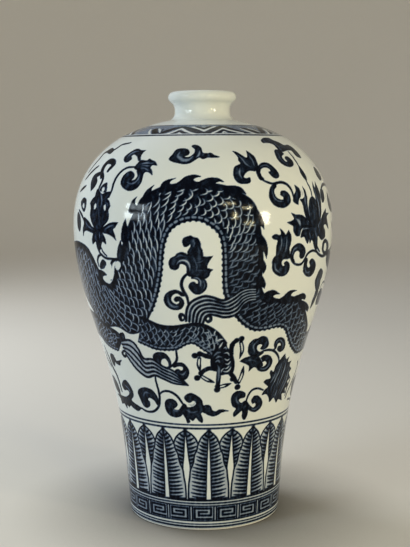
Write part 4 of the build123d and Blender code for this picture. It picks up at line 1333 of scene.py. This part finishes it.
def at(places):
    """Where (angle, height) places are on the skin, as (angle, distance up the skin)."""
    places = np.asarray(places, float)
    return np.stack([places[:, 0], np.interp(places[:, 1], ROW_HEIGHT, ROW_ALONG)], axis=1)


# The brush

def curve_through(points, closed=False, fine=SHAPE_STEPS):
    """A smooth line through points; a point given twice in a row is a sharp one."""
    points = np.asarray(points, float)
    if closed:
        loop = np.vstack([points[-1:], points, points[:2]])
    else:
        loop = np.vstack([2 * points[:1] - points[1:2], points, 2 * points[-1:] - points[-2:-1]])
    t = (np.arange(fine) / fine)[:, None]
    out = []
    for a, b, c, d in zip(loop, loop[1:], loop[2:], loop[3:]):
        if np.allclose(b, c):
            continue
        a = b if np.allclose(a, b) else a
        d = c if np.allclose(c, d) else d
        out.append(
            b + 0.5 * t * (c - a) + t**2 * (a - 2.5 * b + 2 * c - 0.5 * d)
            + t**3 * 0.5 * (3 * b - 3 * c + d - a)
        )
    out = np.vstack(out)
    return out if closed else np.vstack([out, points[-1:]])


def near(path, reach):
    """The part of the canvas within a reach of a path: its rows, columns and flat places."""
    low, high = path[:, 1].min() - reach, path[:, 1].max() + reach
    rows = np.nonzero((ROW_ALONG >= low) & (ROW_ALONG <= high))[0]
    if len(rows) == 0:
        return None
    radius = ROW_RADIUS[rows].min()
    spread = math.degrees(reach / radius)
    first = math.floor((path[:, 0].min() - spread + 180.0) * COLUMNS / 360.0)
    last = math.ceil((path[:, 0].max() + spread + 180.0) * COLUMNS / 360.0)
    columns = np.arange(first, last + 1)
    centre = path[:, 0].mean()
    angles = columns * 360.0 / COLUMNS - 180.0 - centre
    x = np.radians(angles)[None, :] * ROW_RADIUS[rows][:, None]
    y = np.broadcast_to(ROW_ALONG[rows][:, None], x.shape)
    flat = path.copy()
    flat[:, 0] = np.radians(path[:, 0] - centre) * np.interp(path[:, 1], ROW_ALONG, ROW_RADIUS)
    return np.ix_(rows, columns % COLUMNS), x, y, flat


def path_gap(x, y, flat, half_widths, closed=False):
    """How far each place is outside a line of changing half width."""
    ends = np.roll(flat, -1, axis=0) if closed else flat[1:]
    widths = np.roll(half_widths, -1) if closed else half_widths[1:]
    gap = np.full(x.shape, FAR_OFF_MM)
    for a, b, wa, wb in zip(flat, ends, half_widths, widths):
        step = b - a
        square = max(float(step @ step), TINY_SQUARE_MM)
        t = np.clip(((x - a[0]) * step[0] + (y - a[1]) * step[1]) / square, 0, 1)
        away = np.hypot(x - a[0] - t * step[0], y - a[1] - t * step[1])
        np.minimum(gap, away - (wa + (wb - wa) * t), out=gap)
    return gap


def enclosed(x, y, flat):
    """Which places lie inside a closed outline."""
    inside = np.zeros(x.shape, bool)
    for (ax, ay), (bx, by) in zip(flat, np.roll(flat, -1, axis=0)):
        if ay != by:
            crosses = ((ay > y) != (by > y)) & (x < (bx - ax) * (y - ay) / (by - ay) + ax)
            inside ^= crosses
    return inside


def lay(window, cover, tone):
    """Lays a tone over the canvas where the cover says."""
    ink[window] += (tone - ink[window]) * np.clip(cover, 0, 1)


def stroke(path, width, tone, taper=(1.0, 1.0), soft=EDGE, strength=1.0):
    """A brush line along a path on the skin, with its ends narrowed to shares of its width."""
    found = near(path, width + soft)
    if found is None:
        return
    window, x, y, flat = found
    along = lengths_along(flat)
    share = along / max(along[-1], TINY_MM)
    swell = np.sin(np.pi * np.clip(share, 0, 1))
    ends = np.where(share < 0.5, taper[0], taper[1])
    half = width / 2 * (ends + (1 - ends) * swell)
    gap = path_gap(x, y, flat, half)
    lay(window, strength * (0.5 - gap / soft), tone)


def dot(place, to_skin, width, tone):
    """A round touch of the brush."""
    stroke(to_skin([place, (place[0] + DOT_RUN, place[1])]), width, tone)


def wash(outline, tone, rim=None, rim_width=1.0, soft=EDGE):
    """A filled shape on the skin, with a rim inside its outline if one is given.

    With no tone it is the rim alone.
    """
    found = near(outline, soft + WASH_MARGIN)
    if found is None:
        return
    window, x, y, flat = found
    away = path_gap(x, y, flat, np.zeros(len(flat)), closed=True)
    depth = np.where(enclosed(x, y, flat), away, -away)
    if tone is not None:
        lay(window, 0.5 + depth / soft, tone)
    if rim is not None:
        inner = np.clip(0.5 + depth / soft, 0, 1) * np.clip(0.5 + (rim_width - depth) / soft, 0, 1)
        lay(window, inner, rim)


# Lines round the vase

def ring_line(height, width, tone):
    """A painted line right round the vase."""
    middle = np.interp(height, ROW_HEIGHT, ROW_ALONG)
    cover = np.clip(0.5 + (width / 2 - np.abs(ROW_ALONG - middle)) / RING_EDGE, 0, 1)[:, None]
    drift = 1 + RING_DRIFT * np.sin(np.radians(COLUMN_ANGLE * RING_WAVES + height * RING_DEGREES_A_MM))
    ink[:] += (tone * drift[None, :] - ink) * cover


def paint_lines():
    """The plain lines above the foot, round the fret and over the lappets."""
    for height, width, tone in FOOT_LINES + BASE_LINES + DOUBLE_LINES:
        ring_line(height, width, tone)


def fret_unit(middle, mirrored):
    """One squared spiral of the key fret."""
    half = (-1 if mirrored else 1) * 180.0 / FRET_UNITS
    rise = FRET_HIGH - FRET_LOW
    corners = [(middle + half * across, FRET_LOW + rise * up) for across, up in FRET_SPIRAL_SHARES]
    for ends in zip(corners, corners[1:]):
        stroke(at(ends), **FRET_BRUSH)


def paint_fret():
    """The key fret above the foot: squared spirals between paired upright bars."""
    ends = np.interp([FRET_LOW, FRET_HIGH], ROW_HEIGHT, ROW_ALONG)
    rows = (ROW_ALONG > ends[0]) & (ROW_ALONG < ends[1])
    ink[rows] = np.maximum(ink[rows], FRET_WASH)
    for unit in range(FRET_UNITS):
        bar = FRET_START + unit * 360.0 / FRET_UNITS
        for side in (-1, 1):
            place = bar + side * FRET_BAR_ANGLE
            stroke(at([(place, FRET_LOW), (place, FRET_HIGH)]), **FRET_BAR_BRUSH)
        slit = [(bar, FRET_LOW + FRET_SLIT_INSET), (bar, FRET_HIGH - FRET_SLIT_INSET)]
        stroke(at(slit), **FRET_SLIT_BRUSH)
        fret_unit(bar + 180.0 / FRET_UNITS, unit % 2 == 0)


def paint_lappet(middle, half, shares, ribs, veins, hand):
    """An upright leaf with a white midrib and slanting veins."""
    def spot(across, up):
        return middle + half * across, LAPPET_LOW + (LAPPET_HIGH - LAPPET_LOW) * up

    right = [spot(across, up) for up, across in shares]
    left = [spot(-across, up) for up, across in reversed(shares)]
    tip = spot(0.0, 1.0)
    outline = at(curve_through(right + [tip, tip] + left))
    wash(outline, 0.0, soft=LAPPET_EDGE)
    wash(outline, LAPPET_WASH)
    rib = at([spot(0.0, up) for up, _ in ribs])
    window, x, y, flat = near(rib, RIB_REACH)
    away = path_gap(x, y, flat, np.array([width for _, width in ribs]))
    lay(window, RIB_SHADE_STRENGTH * (1 - away / RIB_SHADE), RIB_SHADE_TONE)
    stroke(at([spot(0.0, TIP_SHARE), tip]), **TIP_BRUSH)
    for step in range(veins):
        up = VEIN_FIRST_SHARE + VEIN_SPAN_SHARE * step / veins
        width = np.interp(up + VEIN_WIDTH_AHEAD_SHARE, *zip(*shares))
        slant = VEIN_SLANT_SHARE + VEIN_SLANT_GAIN_SHARE * up
        for side in (-1, 1):
            start = up + hand.normal(0, VEIN_SWAY_SHARE)
            bend = spot(side * width * VEIN_BEND_ACROSS_SHARE, start + slant * VEIN_BEND_UP_SHARE)
            outer = spot(side * width * hand.uniform(*VEIN_REACH_SHARES), start + slant)
            vein = at(curve_through([spot(0.0, start), bend, outer], fine=MARK_STEPS))
            stroke(vein, **VEIN_SHADE_BRUSH)
            stroke(vein, **VEIN_BRUSH)
    wash(outline, None, rim=1.0, rim_width=LAPPET_RIM)
    lay(window, 0.5 - (away - RIB_RIM) / EDGE, 1.0)
    lay(window, 0.5 - away / RIB_EDGE, 0.0)


def paint_lappets():
    """The band of upright leaves, the ones behind first."""
    hand = np.random.default_rng(HAND_SEED)
    pitch = 360.0 / LAPPETS
    for offset, lappet in ((0.5, BACK_LAPPET), (0.0, FRONT_LAPPET)):
        for number in range(LAPPETS):
            paint_lappet(LAPPET_START + pitch * (number + offset), *lappet, hand)
    ink[ROW_ALONG < np.interp(LAPPET_LOW, ROW_HEIGHT, ROW_ALONG)] = 0


def on_back(places):
    """Where (mm across, mm up) places, as seen from behind, are on the skin."""
    places = np.asarray(places, float)
    angle = 180.0 + np.degrees(places[:, 0] / BACK_RADIUS)
    return at(np.stack([angle, places[:, 1]], axis=1))


def turned_by(path, angle):
    """A path on the skin, turned round the vase."""
    return path + np.array([angle, 0.0])


def measured(path):
    """The distance of each point of a path on the skin from its start, in millimetres."""
    radius = np.interp(path[:, 1], ROW_ALONG, ROW_RADIUS)
    across = np.radians(np.diff(path[:, 0])) * (radius[1:] + radius[:-1]) / 2
    return np.concatenate([[0.0], np.cumsum(np.hypot(across, np.diff(path[:, 1])))])


def place_on(edge, along, distance):
    """The place on a path at a distance along it."""
    return np.array([np.interp(distance, along, edge[:, axis]) for axis in (0, 1)])


def on_body(back, belly):
    """How to find a place by the distance along a body and the share across it; and its length."""
    along = measured((back + belly) / 2)

    def place(distance, share):
        top, bottom = (place_on(edge, along, distance) for edge in (back, belly))
        return top * (1 - share) + bottom * share

    return place, along[-1]


def edges_of(ribs):
    """The lines of a body's back and belly."""
    return [curve_through(ribs[:, side], fine=LINE_STEPS) for side in (0, 1)]


# Leaves and flowers

def paint_leaves(outlines, to_skin, tone=LEAF_TONE):
    """Leaves, curls and petals, laid on in one wash with a darker rim."""
    for outline in outlines.values():
        wash(to_skin(curve_through(outline, closed=True)), tone, rim=1.0, rim_width=LEAF_RIM)


def paint_stems(stems, to_skin):
    """Stems, which narrow at both ends."""
    for width, line in stems.values():
        stroke(to_skin(curve_through(line)), width, **STEM_SHAPE)


def paint_streaks(streaks, to_skin):
    """Paler places where a leaf's wash has run."""
    for width, tone, line in streaks.values():
        stroke(to_skin(curve_through(line)), width * STREAK_WIDENING, tone, **STREAK_SHAPE)


# The dragon

def fill_body(back, belly, tone):
    """A body's wash, laid on in stretches that overlap."""
    for first in range(0, len(back) - 1, FILL_STRETCH):
        last = min(first + FILL_STRETCH + 1, len(back) - 1)
        wash(np.vstack([back[first:last + 1], belly[first:last + 1][::-1]]), tone)


def paint_scales(back, belly, look, hand):
    """Rows of scales from a share across a body to a changing one, each with a pale edge."""
    size, low = look["scale"], look["low_share"]
    place, length = on_body(back, belly)
    turns, shapes = (np.array(part) for part in zip(*SCALE_SHARES))
    for row, distance in enumerate(np.arange(0.0, length - size, size * SCALE_ROW_SHARE)):
        share = distance / length
        high = np.interp(share, *zip(*look["reach"]))
        ends = np.array([place(distance, low), place(distance, high)])
        count = max(2, round(measured(ends)[-1] / size / SCALE_WIDENING))
        half = (high - low) / count / 2
        tone = np.interp(share, *zip(*look["tones"]))
        shape = [[np.interp(share, turns, values) for values in spot.T] for spot in shapes.swapaxes(0, 1)]
        for number in range(count + row % 2):
            middle = low + half * (2 * number + 1 - row % 2)
            shift = hand.normal(0, SCALE_SHIFT_SHARE * size)
            sway = hand.normal(0, SCALE_SWAY_SHARE)
            arc = [
                place(distance + shift + ahead * size, middle + (side + sway) * half)
                for ahead, side in shape if low <= middle + side * half <= high
            ]
            pale = np.clip(tone + hand.normal(0, SCALE_TONE_SWAY), 0.0, DARKEST_SCALE_EDGE)
            if len(arc) > 2:
                path = curve_through(arc, fine=MARK_STEPS)
                stroke(path, size * SCALE_SHADE_SHARE, **SCALE_SHADE_BRUSH)
                stroke(path, size * SCALE_LINE_SHARE, pale, **SCALE_LINE_SHAPE)


def paint_beads(back, belly, look):
    """The belly's scalloped edge: dark knobs outside and a row of pale beads within."""
    step, depth = look["bead_step"], look["bead_depth"]
    along = measured(belly)
    for distance in np.arange(step / 2, along[-1], step):
        if np.interp(distance / along[-1], *zip(*look["reach"])) > BEADED_REACH:
            continue
        ends = []
        for side in (-1, 1):
            outer, inner = (
                place_on(edge, along, distance + side * BEAD_HALF_SHARE * step) for edge in (belly, back)
            )
            across = measured(np.array([inner, outer]))[-1]
            ends.append(outer + (inner - outer) * (depth / across))
            knob = outer + (inner - outer) * (KNOB_DEPTH / across)
        stroke(np.array([knob, knob + KNOB_RUN]), step * KNOB_WIDTH_SHARE, 1.0)
        stroke(np.array(ends), step * BEAD_WIDTH_SHARE, **BEAD_BRUSH)


def paint_scaly(ribs, look, hand):
    """A scaly length of the dragon with its beaded belly, from the ribs between its edges."""
    back, belly = edges_of(ribs)
    fill_body(back, belly, look["tone"])
    paint_scales(back, belly, look, hand)
    paint_beads(back, belly, look)
    stroke(back, look["back_line"], 1.0)


def paint_tuft(locks, upper, lower, to_skin):
    """A tuft of hair: dark wavy locks over a pale wash."""
    upper, lower = (curve_through(line, fine=LINE_STEPS) for line in (upper, lower))
    wash(to_skin(np.vstack([upper, lower[::-1]])), TUFT_WASH)
    for lock in range(locks + 1):
        share = lock / locks
        stroke(to_skin(upper * (1 - share) + lower * share), **LOCK_BRUSH)


def paint_foot(to_skin):
    """A foot with its toes and long hollow claws."""
    for finger, knuckle, claw in TOE_PIXELS.values():
        tip = to_skin(curve_through(claw, fine=FINE_STEPS))
        stroke(tip, **CLAW_BRUSH)
        stroke(tip[1:-4], **CLAW_HOLLOW_BRUSH)
        stroke(to_skin(curve_through(finger, fine=LINE_STEPS)), **FINGER_BRUSH)
        dot(knuckle, to_skin, **KNUCKLE_BRUSH)
    for knob in KNOB_PIXELS:
        dot(knob, to_skin, **FOOT_KNOB_BRUSH)
    wash(to_skin(curve_through(FOOT_PIXELS, closed=True)), PALM_TONE)
    for width, tone, touch in FOOT_TOUCH_PIXELS:
        stroke(to_skin(curve_through(touch)), width, tone, taper=TOUCH_TAPER)


def paint_flames(back, belly, ends, step, reach):
    """Flames along a body's back between two distances, which lean towards the tail."""
    place, _ = on_body(back, belly)
    for distance in np.arange(*ends, step):
        out = reach / measured(np.array([place(distance, 0.0), place(distance, 1.0)]))[-1]
        outline = [place(distance + ahead * step, share * out) for ahead, share in FLAME_SHARES]
        wash(curve_through(outline, closed=True), ROW_FLAME_TONE, rim=1.0)


def paint_head():
    """The dragon's head, behind."""
    paint_stems(HEAD_STEMS_MM, on_back)
    paint_leaves(HEAD_MM, on_back, HEAD_TONE)
    paint_streaks(HEAD_STREAKS_MM, on_back)
    dot(EYE_MM, on_back, EYE_WIDTH, 0.0)
    dot(EYE_MM, on_back, PUPIL_WIDTH, 1.0)


def paint_pearl():
    """The flaming pearl before the dragon's head."""
    paint_leaves(PEARL_FLAMES_MM, on_back, PEARL_FLAME_TONE)
    turns = np.radians(np.linspace(0, 360, PEARL_STEPS + 1))
    middle = np.array(PEARL_MM)
    rim = middle + PEARL_RADIUS * np.stack([np.cos(turns), np.sin(turns)], axis=1)
    wash(on_back(rim), 0.0, rim=1.0, rim_width=PEARL_RIM)
    start, end = SPIRAL_SHARES
    radius = PEARL_RADIUS * (start - (start - end) * np.arange(len(turns)) / len(turns))
    winding = turns * SPIRAL_TURNS
    spiral = middle + radius[:, None] * np.stack([np.cos(winding), np.sin(winding)], axis=1)
    stroke(on_back(spiral), **SPIRAL_BRUSH)


def mirrored_behind(pixels):
    """Pixels of the front, mirrored to the far side of the vase."""
    path = on_skin(pixels)
    return np.stack([FAR_LEG_MIRROR - path[:, 0], path[:, 1]], axis=1)


def paint_dragon():
    """The dragon that winds round the vase."""
    hand = np.random.default_rng(HAND_SEED)
    paint_scaly(np.array([on_skin(rib) for rib in HIND_LEG_PIXELS]), LEG_LOOK, hand)
    front = np.array([on_skin(rib) for rib in BODY_PIXELS])
    neck = np.array([turned_by(on_back(rib), -360.0) for rib in NECK_MM])
    tail = np.array([on_back(rib) for rib in TAIL_MM])
    ribs = np.concatenate([neck, front, tail])
    back, belly = edges_of(ribs)
    tip = measured((back + belly) / 2)[-1]
    tail_ends = [tip - distance for distance in TAIL_FLAME_ENDS]
    paint_flames(back, belly, NECK_FLAME_ENDS, NECK_FLAME_STEP, NECK_FLAME_REACH)
    paint_flames(back, belly, tail_ends, TAIL_FLAME_STEP, TAIL_FLAME_REACH)
    paint_scaly(ribs, BODY_LOOK, hand)
    wash(on_back(curve_through(TAIL_FLAME_MM, closed=True)), FLAME_TONE, rim=1.0)
    paint_leaves(FLAME_PIXELS, on_skin, FLAME_TONE)
    for to_skin in (on_skin, mirrored_behind):
        paint_scaly(np.array([to_skin(rib) for rib in FORELEG_PIXELS]), LEG_LOOK, hand)
        paint_foot(to_skin)
    for tufts, to_skin in ((TUFT_PIXELS, on_skin), (BACK_TUFTS_MM, on_back)):
        for tuft in tufts.values():
            paint_tuft(*tuft, to_skin)
    paint_head()
    stroke(on_skin(curve_through(SHOULDER_CURL_PIXELS, fine=LINE_STEPS)), **SHOULDER_CURL_BRUSH)
    wash(on_skin(curve_through(SHOULDER_GAP_PIXELS, closed=True, fine=FINE_STEPS)), 0.0)
    wash(on_skin(curve_through(SHOULDER_EYE_PIXELS, closed=True, fine=FINE_STEPS)), SHOULDER_EYE_TONE)


def paint_scroll():
    """The scrolling leaves and lotus flowers round the dragon, and their repeats behind."""
    tables = (STEM_PIXELS, LEAF_PIXELS, BARE_PIXELS, STREAK_PIXELS)
    every_name = ("",)
    for angle, names in ((0.0, every_name),) + BACK_REPEATS:
        def to_skin(pixels):
            return turned_by(on_skin(pixels), angle)

        stems, leaves, bare, streaks = (
            {name: shape for name, shape in table.items() if name.startswith(names)} for table in tables
        )
        paint_stems(stems, to_skin)
        paint_leaves(leaves, to_skin)
        for outline in bare.values():
            wash(to_skin(curve_through(outline, closed=True)), 0.0)
        paint_streaks(streaks, to_skin)
    paint_leaves(SIDE_LEAVES_MM, on_back)
    paint_stems(SIDE_STEMS_MM, on_back)


# The collar

def paint_collar():
    """The band under the neck: a broad zigzag with bare and dark chevrons, and a round dot."""
    ends = np.interp([COLLAR_LOW, COLLAR_HIGH], ROW_HEIGHT, ROW_ALONG)
    ink[(ROW_ALONG > ends[0]) & (ROW_ALONG < ends[1])] = COLLAR_WASH
    for turn in COLLAR_TURNS:
        for width, tone, line in COLLAR_PIXELS:
            stroke(turned_by(on_skin(line), turn), width, tone, **COLLAR_SHAPE)
    for height, width, tone in COLLAR_LINES:
        ring_line(height, width, tone)


# The whole painting

def pool_the_ink():
    """Uneven strength over the painting, as where cobalt has heaped and run."""
    hand = np.random.default_rng(HAND_SEED)
    turns = np.radians(COLUMN_ANGLE)[None, :]
    along = ROW_ALONG[:, None]
    field = np.zeros_like(ink)
    for _ in range(POOL_WAVES):
        round_vase = hand.integers(*POOL_TURNS)
        up_vase = hand.normal(0, POOL_RISE)
        field += np.sin(round_vase * turns + up_vase * along + hand.uniform(0, 2 * math.pi))
    field /= math.sqrt(POOL_WAVES / 2)
    ink[:] *= np.clip(POOL_MIDDLE + POOL_SWING * field, *POOL_LIMITS)


# Materials

def ceramic(name, roughness, coat):
    """A principled material, with its nodes, its links and its shader."""
    material = bpy.data.materials.new(name)
    material.use_nodes = True
    nodes, links = material.node_tree.nodes, material.node_tree.links
    shader = nodes["Principled BSDF"]
    shader.inputs["Roughness"].default_value = roughness
    shader.inputs["Coat Weight"].default_value = coat
    shader.inputs["Coat Roughness"].default_value = COAT_ROUGHNESS
    return material, nodes, links, shader


def noise(nodes, links, scale, detail):
    """Noise through the object's own space, in cycles a metre."""
    place = nodes.new("ShaderNodeTexCoord")
    texture = nodes.new("ShaderNodeTexNoise")
    texture.inputs["Scale"].default_value = scale
    texture.inputs["Detail"].default_value = detail
    links.new(place.outputs["Object"], texture.inputs["Vector"])
    return texture.outputs["Fac"]


def calculate(nodes, links, operation, *values):
    """The result of a sum over sockets and numbers."""
    node = nodes.new("ShaderNodeMath")
    node.operation = operation
    for socket, value in zip(node.inputs, values):
        if isinstance(value, (int, float)):
            socket.default_value = value
        else:
            links.new(value, socket)
    return node.outputs[0]


def ramp(nodes, links, value, stops):
    """A colour ramp over a value, from (place, colour) stops."""
    node = nodes.new("ShaderNodeValToRGB")
    elements = node.color_ramp.elements
    elements[0].position, elements[0].color = stops[0][0], (*stops[0][1], 1)
    elements[1].position, elements[1].color = stops[-1][0], (*stops[-1][1], 1)
    for place, colour in stops[1:-1]:
        elements.new(place).color = (*colour, 1)
    links.new(value, node.inputs["Fac"])
    return node.outputs["Color"]


def add_bump(nodes, links, shader, height, distance):
    """A fine relief on the shader."""
    node = nodes.new("ShaderNodeBump")
    node.inputs["Distance"].default_value = distance
    node.inputs["Strength"].default_value = BUMP_STRENGTH
    links.new(height, node.inputs["Height"])
    links.new(node.outputs["Normal"], shader.inputs["Normal"])


def painted_glaze():
    """Clear glaze over cobalt painting on white clay."""
    material, nodes, links, shader = ceramic("painted_glaze", GLAZE_ROUGHNESS, 0.0)
    shader.inputs["IOR"].default_value = GLAZE_IOR
    painted = nodes.new("ShaderNodeAttribute")
    painted.attribute_name = "ink"
    cobalt = painted.outputs["Fac"]
    grain = noise(nodes, links, GRAIN_SCALE, GRAIN_DETAIL)
    swing = calculate(nodes, links, "MULTIPLY_ADD", grain, GRAIN_SWING, GRAIN_LEAST)
    amount = calculate(nodes, links, "MULTIPLY", cobalt, swing)
    links.new(ramp(nodes, links, amount, GLAZE_STOPS), shader.inputs["Base Color"])
    gloss = calculate(nodes, links, "MULTIPLY_ADD", cobalt, COBALT_SPECULAR, GLAZE_SPECULAR)
    links.new(gloss, shader.inputs["Specular IOR Level"])
    ripple = noise(nodes, links, RELIEF_SCALE, RELIEF_DETAIL)
    relief = calculate(nodes, links, "MULTIPLY_ADD", cobalt, COBALT_RELIEF, ripple)
    add_bump(nodes, links, shader, relief, GLAZE_RELIEF)
    return material


def plain_material(name, colour, tint, roughness, coat, scale):
    """A ceramic of one colour that drifts to another."""
    material, nodes, links, shader = ceramic(name, roughness, coat)
    drift = noise(nodes, links, scale, DRIFT_DETAIL)
    stops = list(zip(DRIFT_PLACES, (colour, tint)))
    links.new(ramp(nodes, links, drift, stops), shader.inputs["Base Color"])
    grit = noise(nodes, links, scale * PLAIN_RELIEF_SCALES, PLAIN_RELIEF_DETAIL)
    add_bump(nodes, links, shader, grit, PLAIN_RELIEF)
    return material


# Pieces

def skin_panel(name, first, material):
    """A quarter of the glaze's skin, closed, with its painting on its vertices."""
    count = COLUMNS // len(PANELS) + 1
    columns = np.arange(first, first + count)
    angles = np.radians(columns * 360.0 / COLUMNS - 180.0)
    radius, height = ROWS[:, 0], ROWS[:, 1]
    places = np.stack([
        radius[:, None] * np.sin(angles)[None, :],
        -radius[:, None] * np.cos(angles)[None, :],
        np.broadcast_to(height[:, None], (len(ROWS), count)),
    ], axis=2).reshape(-1, 3)
    normals = np.stack([
        NORMALS[:, :1] * np.sin(angles)[None, :],
        -NORMALS[:, :1] * np.cos(angles)[None, :],
        np.broadcast_to(NORMALS[:, 1:], (len(ROWS), count)),
    ], axis=2).reshape(-1, 3)
    row = np.arange(len(ROWS))[:, None] * count
    above = np.roll(np.arange(len(ROWS)), -1)[:, None] * count
    left = np.arange(count - 1)[None, :]
    quads = np.stack([row + left, row + left + 1, above + left + 1, above + left], axis=2).reshape(-1, 4)
    start_cap = (np.arange(len(ROWS)) * count).tolist()
    end_cap = (np.arange(len(ROWS))[::-1] * count + count - 1).tolist()
    mesh = bpy.data.meshes.new(name)
    mesh.from_pydata(places, [], quads.tolist() + [start_cap, end_cap])
    mesh.polygons.foreach_set("use_smooth", np.ones(len(mesh.polygons), bool))
    mesh.normals_split_custom_set_from_vertices(normals)
    field = np.zeros((len(ROWS), count), np.float32)
    field[:PAINTED_ROWS] = ink[:, columns % COLUMNS]
    mesh.attributes.new("ink", "FLOAT", "POINT").data.foreach_set("value", field.ravel())
    mesh.materials.append(material)
    piece = bpy.data.objects.new(name, mesh)
    bpy.context.scene.collection.objects.link(piece)
    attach(piece, "root")
    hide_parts("outer_glaze")
    return piece


def build_skin():
    """The painted glaze in four quarters that meet edge to edge."""
    material = painted_glaze()
    quarter = COLUMNS // len(PANELS)
    for number, side in enumerate(PANELS):
        skin_panel(f"painted_glaze_{side}", COLUMNS // 2 - quarter // 2 + number * quarter, material)


def finish_cad_nodes():
    """The bare clay, the slip that joins it and the glaze inside, on the CAD model's own pieces."""
    biscuit = plain_material("bare_porcelain", *BISCUIT)
    slip = plain_material("slip", *SLIP)
    inside = plain_material("inner_glaze", *INNER_GLAZE)
    for name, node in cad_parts.items():
        material = slip if "slip" in name else inside if name == "inner_glaze" else biscuit
        if name != "outer_glaze":
            node.data.materials.clear()
            node.data.materials.append(material)


# The studio

def stage_material():
    """A matt surface, coloured by the distance from its middle, with a painted contact shadow: ambient
    occlusion darkens its colour close to a piece.
    """
    material, nodes, links, shader = ceramic("studio_sweep", STAGE_ROUGHNESS, 0.0)
    place = nodes.new("ShaderNodeTexCoord")
    distance = nodes.new("ShaderNodeVectorMath")
    distance.operation = "LENGTH"
    links.new(place.outputs["Object"], distance.inputs[0])
    share = calculate(nodes, links, "DIVIDE", distance.outputs["Value"], FLOOR_RADIUS)
    # Painted contact shadow: ambient occlusion near a piece darkens the floor's colour
    contact_shadow = nodes.new("ShaderNodeAmbientOcclusion")
    contact_shadow.inputs["Distance"].default_value = CONTACT_SHADOW_DISTANCE
    shade = calculate(nodes, links, "POWER", contact_shadow.outputs["AO"], CONTACT_SHADOW_POWER)
    shadowed_colour = nodes.new("ShaderNodeVectorMath")
    shadowed_colour.operation = "SCALE"
    links.new(ramp(nodes, links, share, STAGE_STOPS), shadowed_colour.inputs[0])
    links.new(shade, shadowed_colour.inputs["Scale"])
    links.new(shadowed_colour.outputs["Vector"], shader.inputs["Base Color"])
    return material


def build_stage():
    """A pale round floor that curves up into a wall all round."""
    section = [(FLOOR_RADIUS, 0.0)]
    for step in range(1, BEND_STEPS + 1):
        turn = math.pi / 2 * step / BEND_STEPS
        section.append((FLOOR_RADIUS + BEND_RADIUS * math.sin(turn), BEND_RADIUS * (1 - math.cos(turn))))
    section.append((FLOOR_RADIUS + BEND_RADIUS, WALL_HEIGHT))
    turns = np.radians(np.arange(STAGE_SIDES) * 360.0 / STAGE_SIDES)
    places = [(r * math.cos(turn), r * math.sin(turn), z) for r, z in section for turn in turns]
    faces = [list(range(STAGE_SIDES))]
    for ring in range(len(section) - 1):
        for side in range(STAGE_SIDES):
            a, b = ring * STAGE_SIDES + side, ring * STAGE_SIDES + (side + 1) % STAGE_SIDES
            faces.append([b, a, a + STAGE_SIDES, b + STAGE_SIDES])
    mesh = bpy.data.meshes.new("studio_sweep")
    mesh.from_pydata(places, [], faces)
    mesh.polygons.foreach_set("use_smooth", np.ones(len(mesh.polygons), bool))
    mesh.materials.append(stage_material())
    floor = bpy.data.objects.new("studio_sweep", mesh)
    bpy.context.scene.collection.objects.link(floor)


def light_towards(name, place, target, sides, power, colour):
    """A soft square light that faces a place."""
    data = bpy.data.lights.new(name, "AREA")
    data.shape = "RECTANGLE"
    data.size, data.size_y = sides
    data.energy = power
    data.color = colour
    lamp = bpy.data.objects.new(name, data)
    lamp.location = place
    lamp.rotation_euler = (Vector(target) - Vector(place)).to_track_quat("-Z", "Y").to_euler()
    lamp.visible_glossy = name != UNMIRRORED_LAMP
    bpy.context.scene.collection.objects.link(lamp)


def build_lights():
    """Cool daylight from the left, warmer lamps from the right, one overhead and a plain world."""
    for name, lamp in LAMPS.items():
        light_towards(name, *lamp)
    world = bpy.data.worlds.new("studio")
    bpy.context.scene.world = world
    world.use_nodes = True
    background = world.node_tree.nodes["Background"]
    background.inputs["Color"].default_value = (*WORLD_COLOUR, 1)
    background.inputs["Strength"].default_value = WORLD_STRENGTH


def build_camera():
    """The camera at the photograph's view."""
    data = bpy.data.cameras.new("photo_view")
    data.sensor_fit = "HORIZONTAL"
    data.sensor_width = SENSOR_MM
    data.lens = SENSOR_MM * FOCAL_PIXELS / PHOTO_WIDTH
    data.shift_x = AXIS_SHIFT_PIXELS / PHOTO_WIDTH
    camera = bpy.data.objects.new("photo_view", data)
    camera.matrix_world = camera_matrix()
    bpy.context.scene.collection.objects.link(camera)
    bpy.context.scene.camera = camera


paint_lappets()
paint_fret()
paint_lines()
paint_collar()
paint_scroll()
paint_pearl()
paint_dragon()
pool_the_ink()
build_skin()
finish_cad_nodes()
build_stage()
build_lights()
build_camera()
bpy.context.scene.view_settings.view_transform = "Standard"
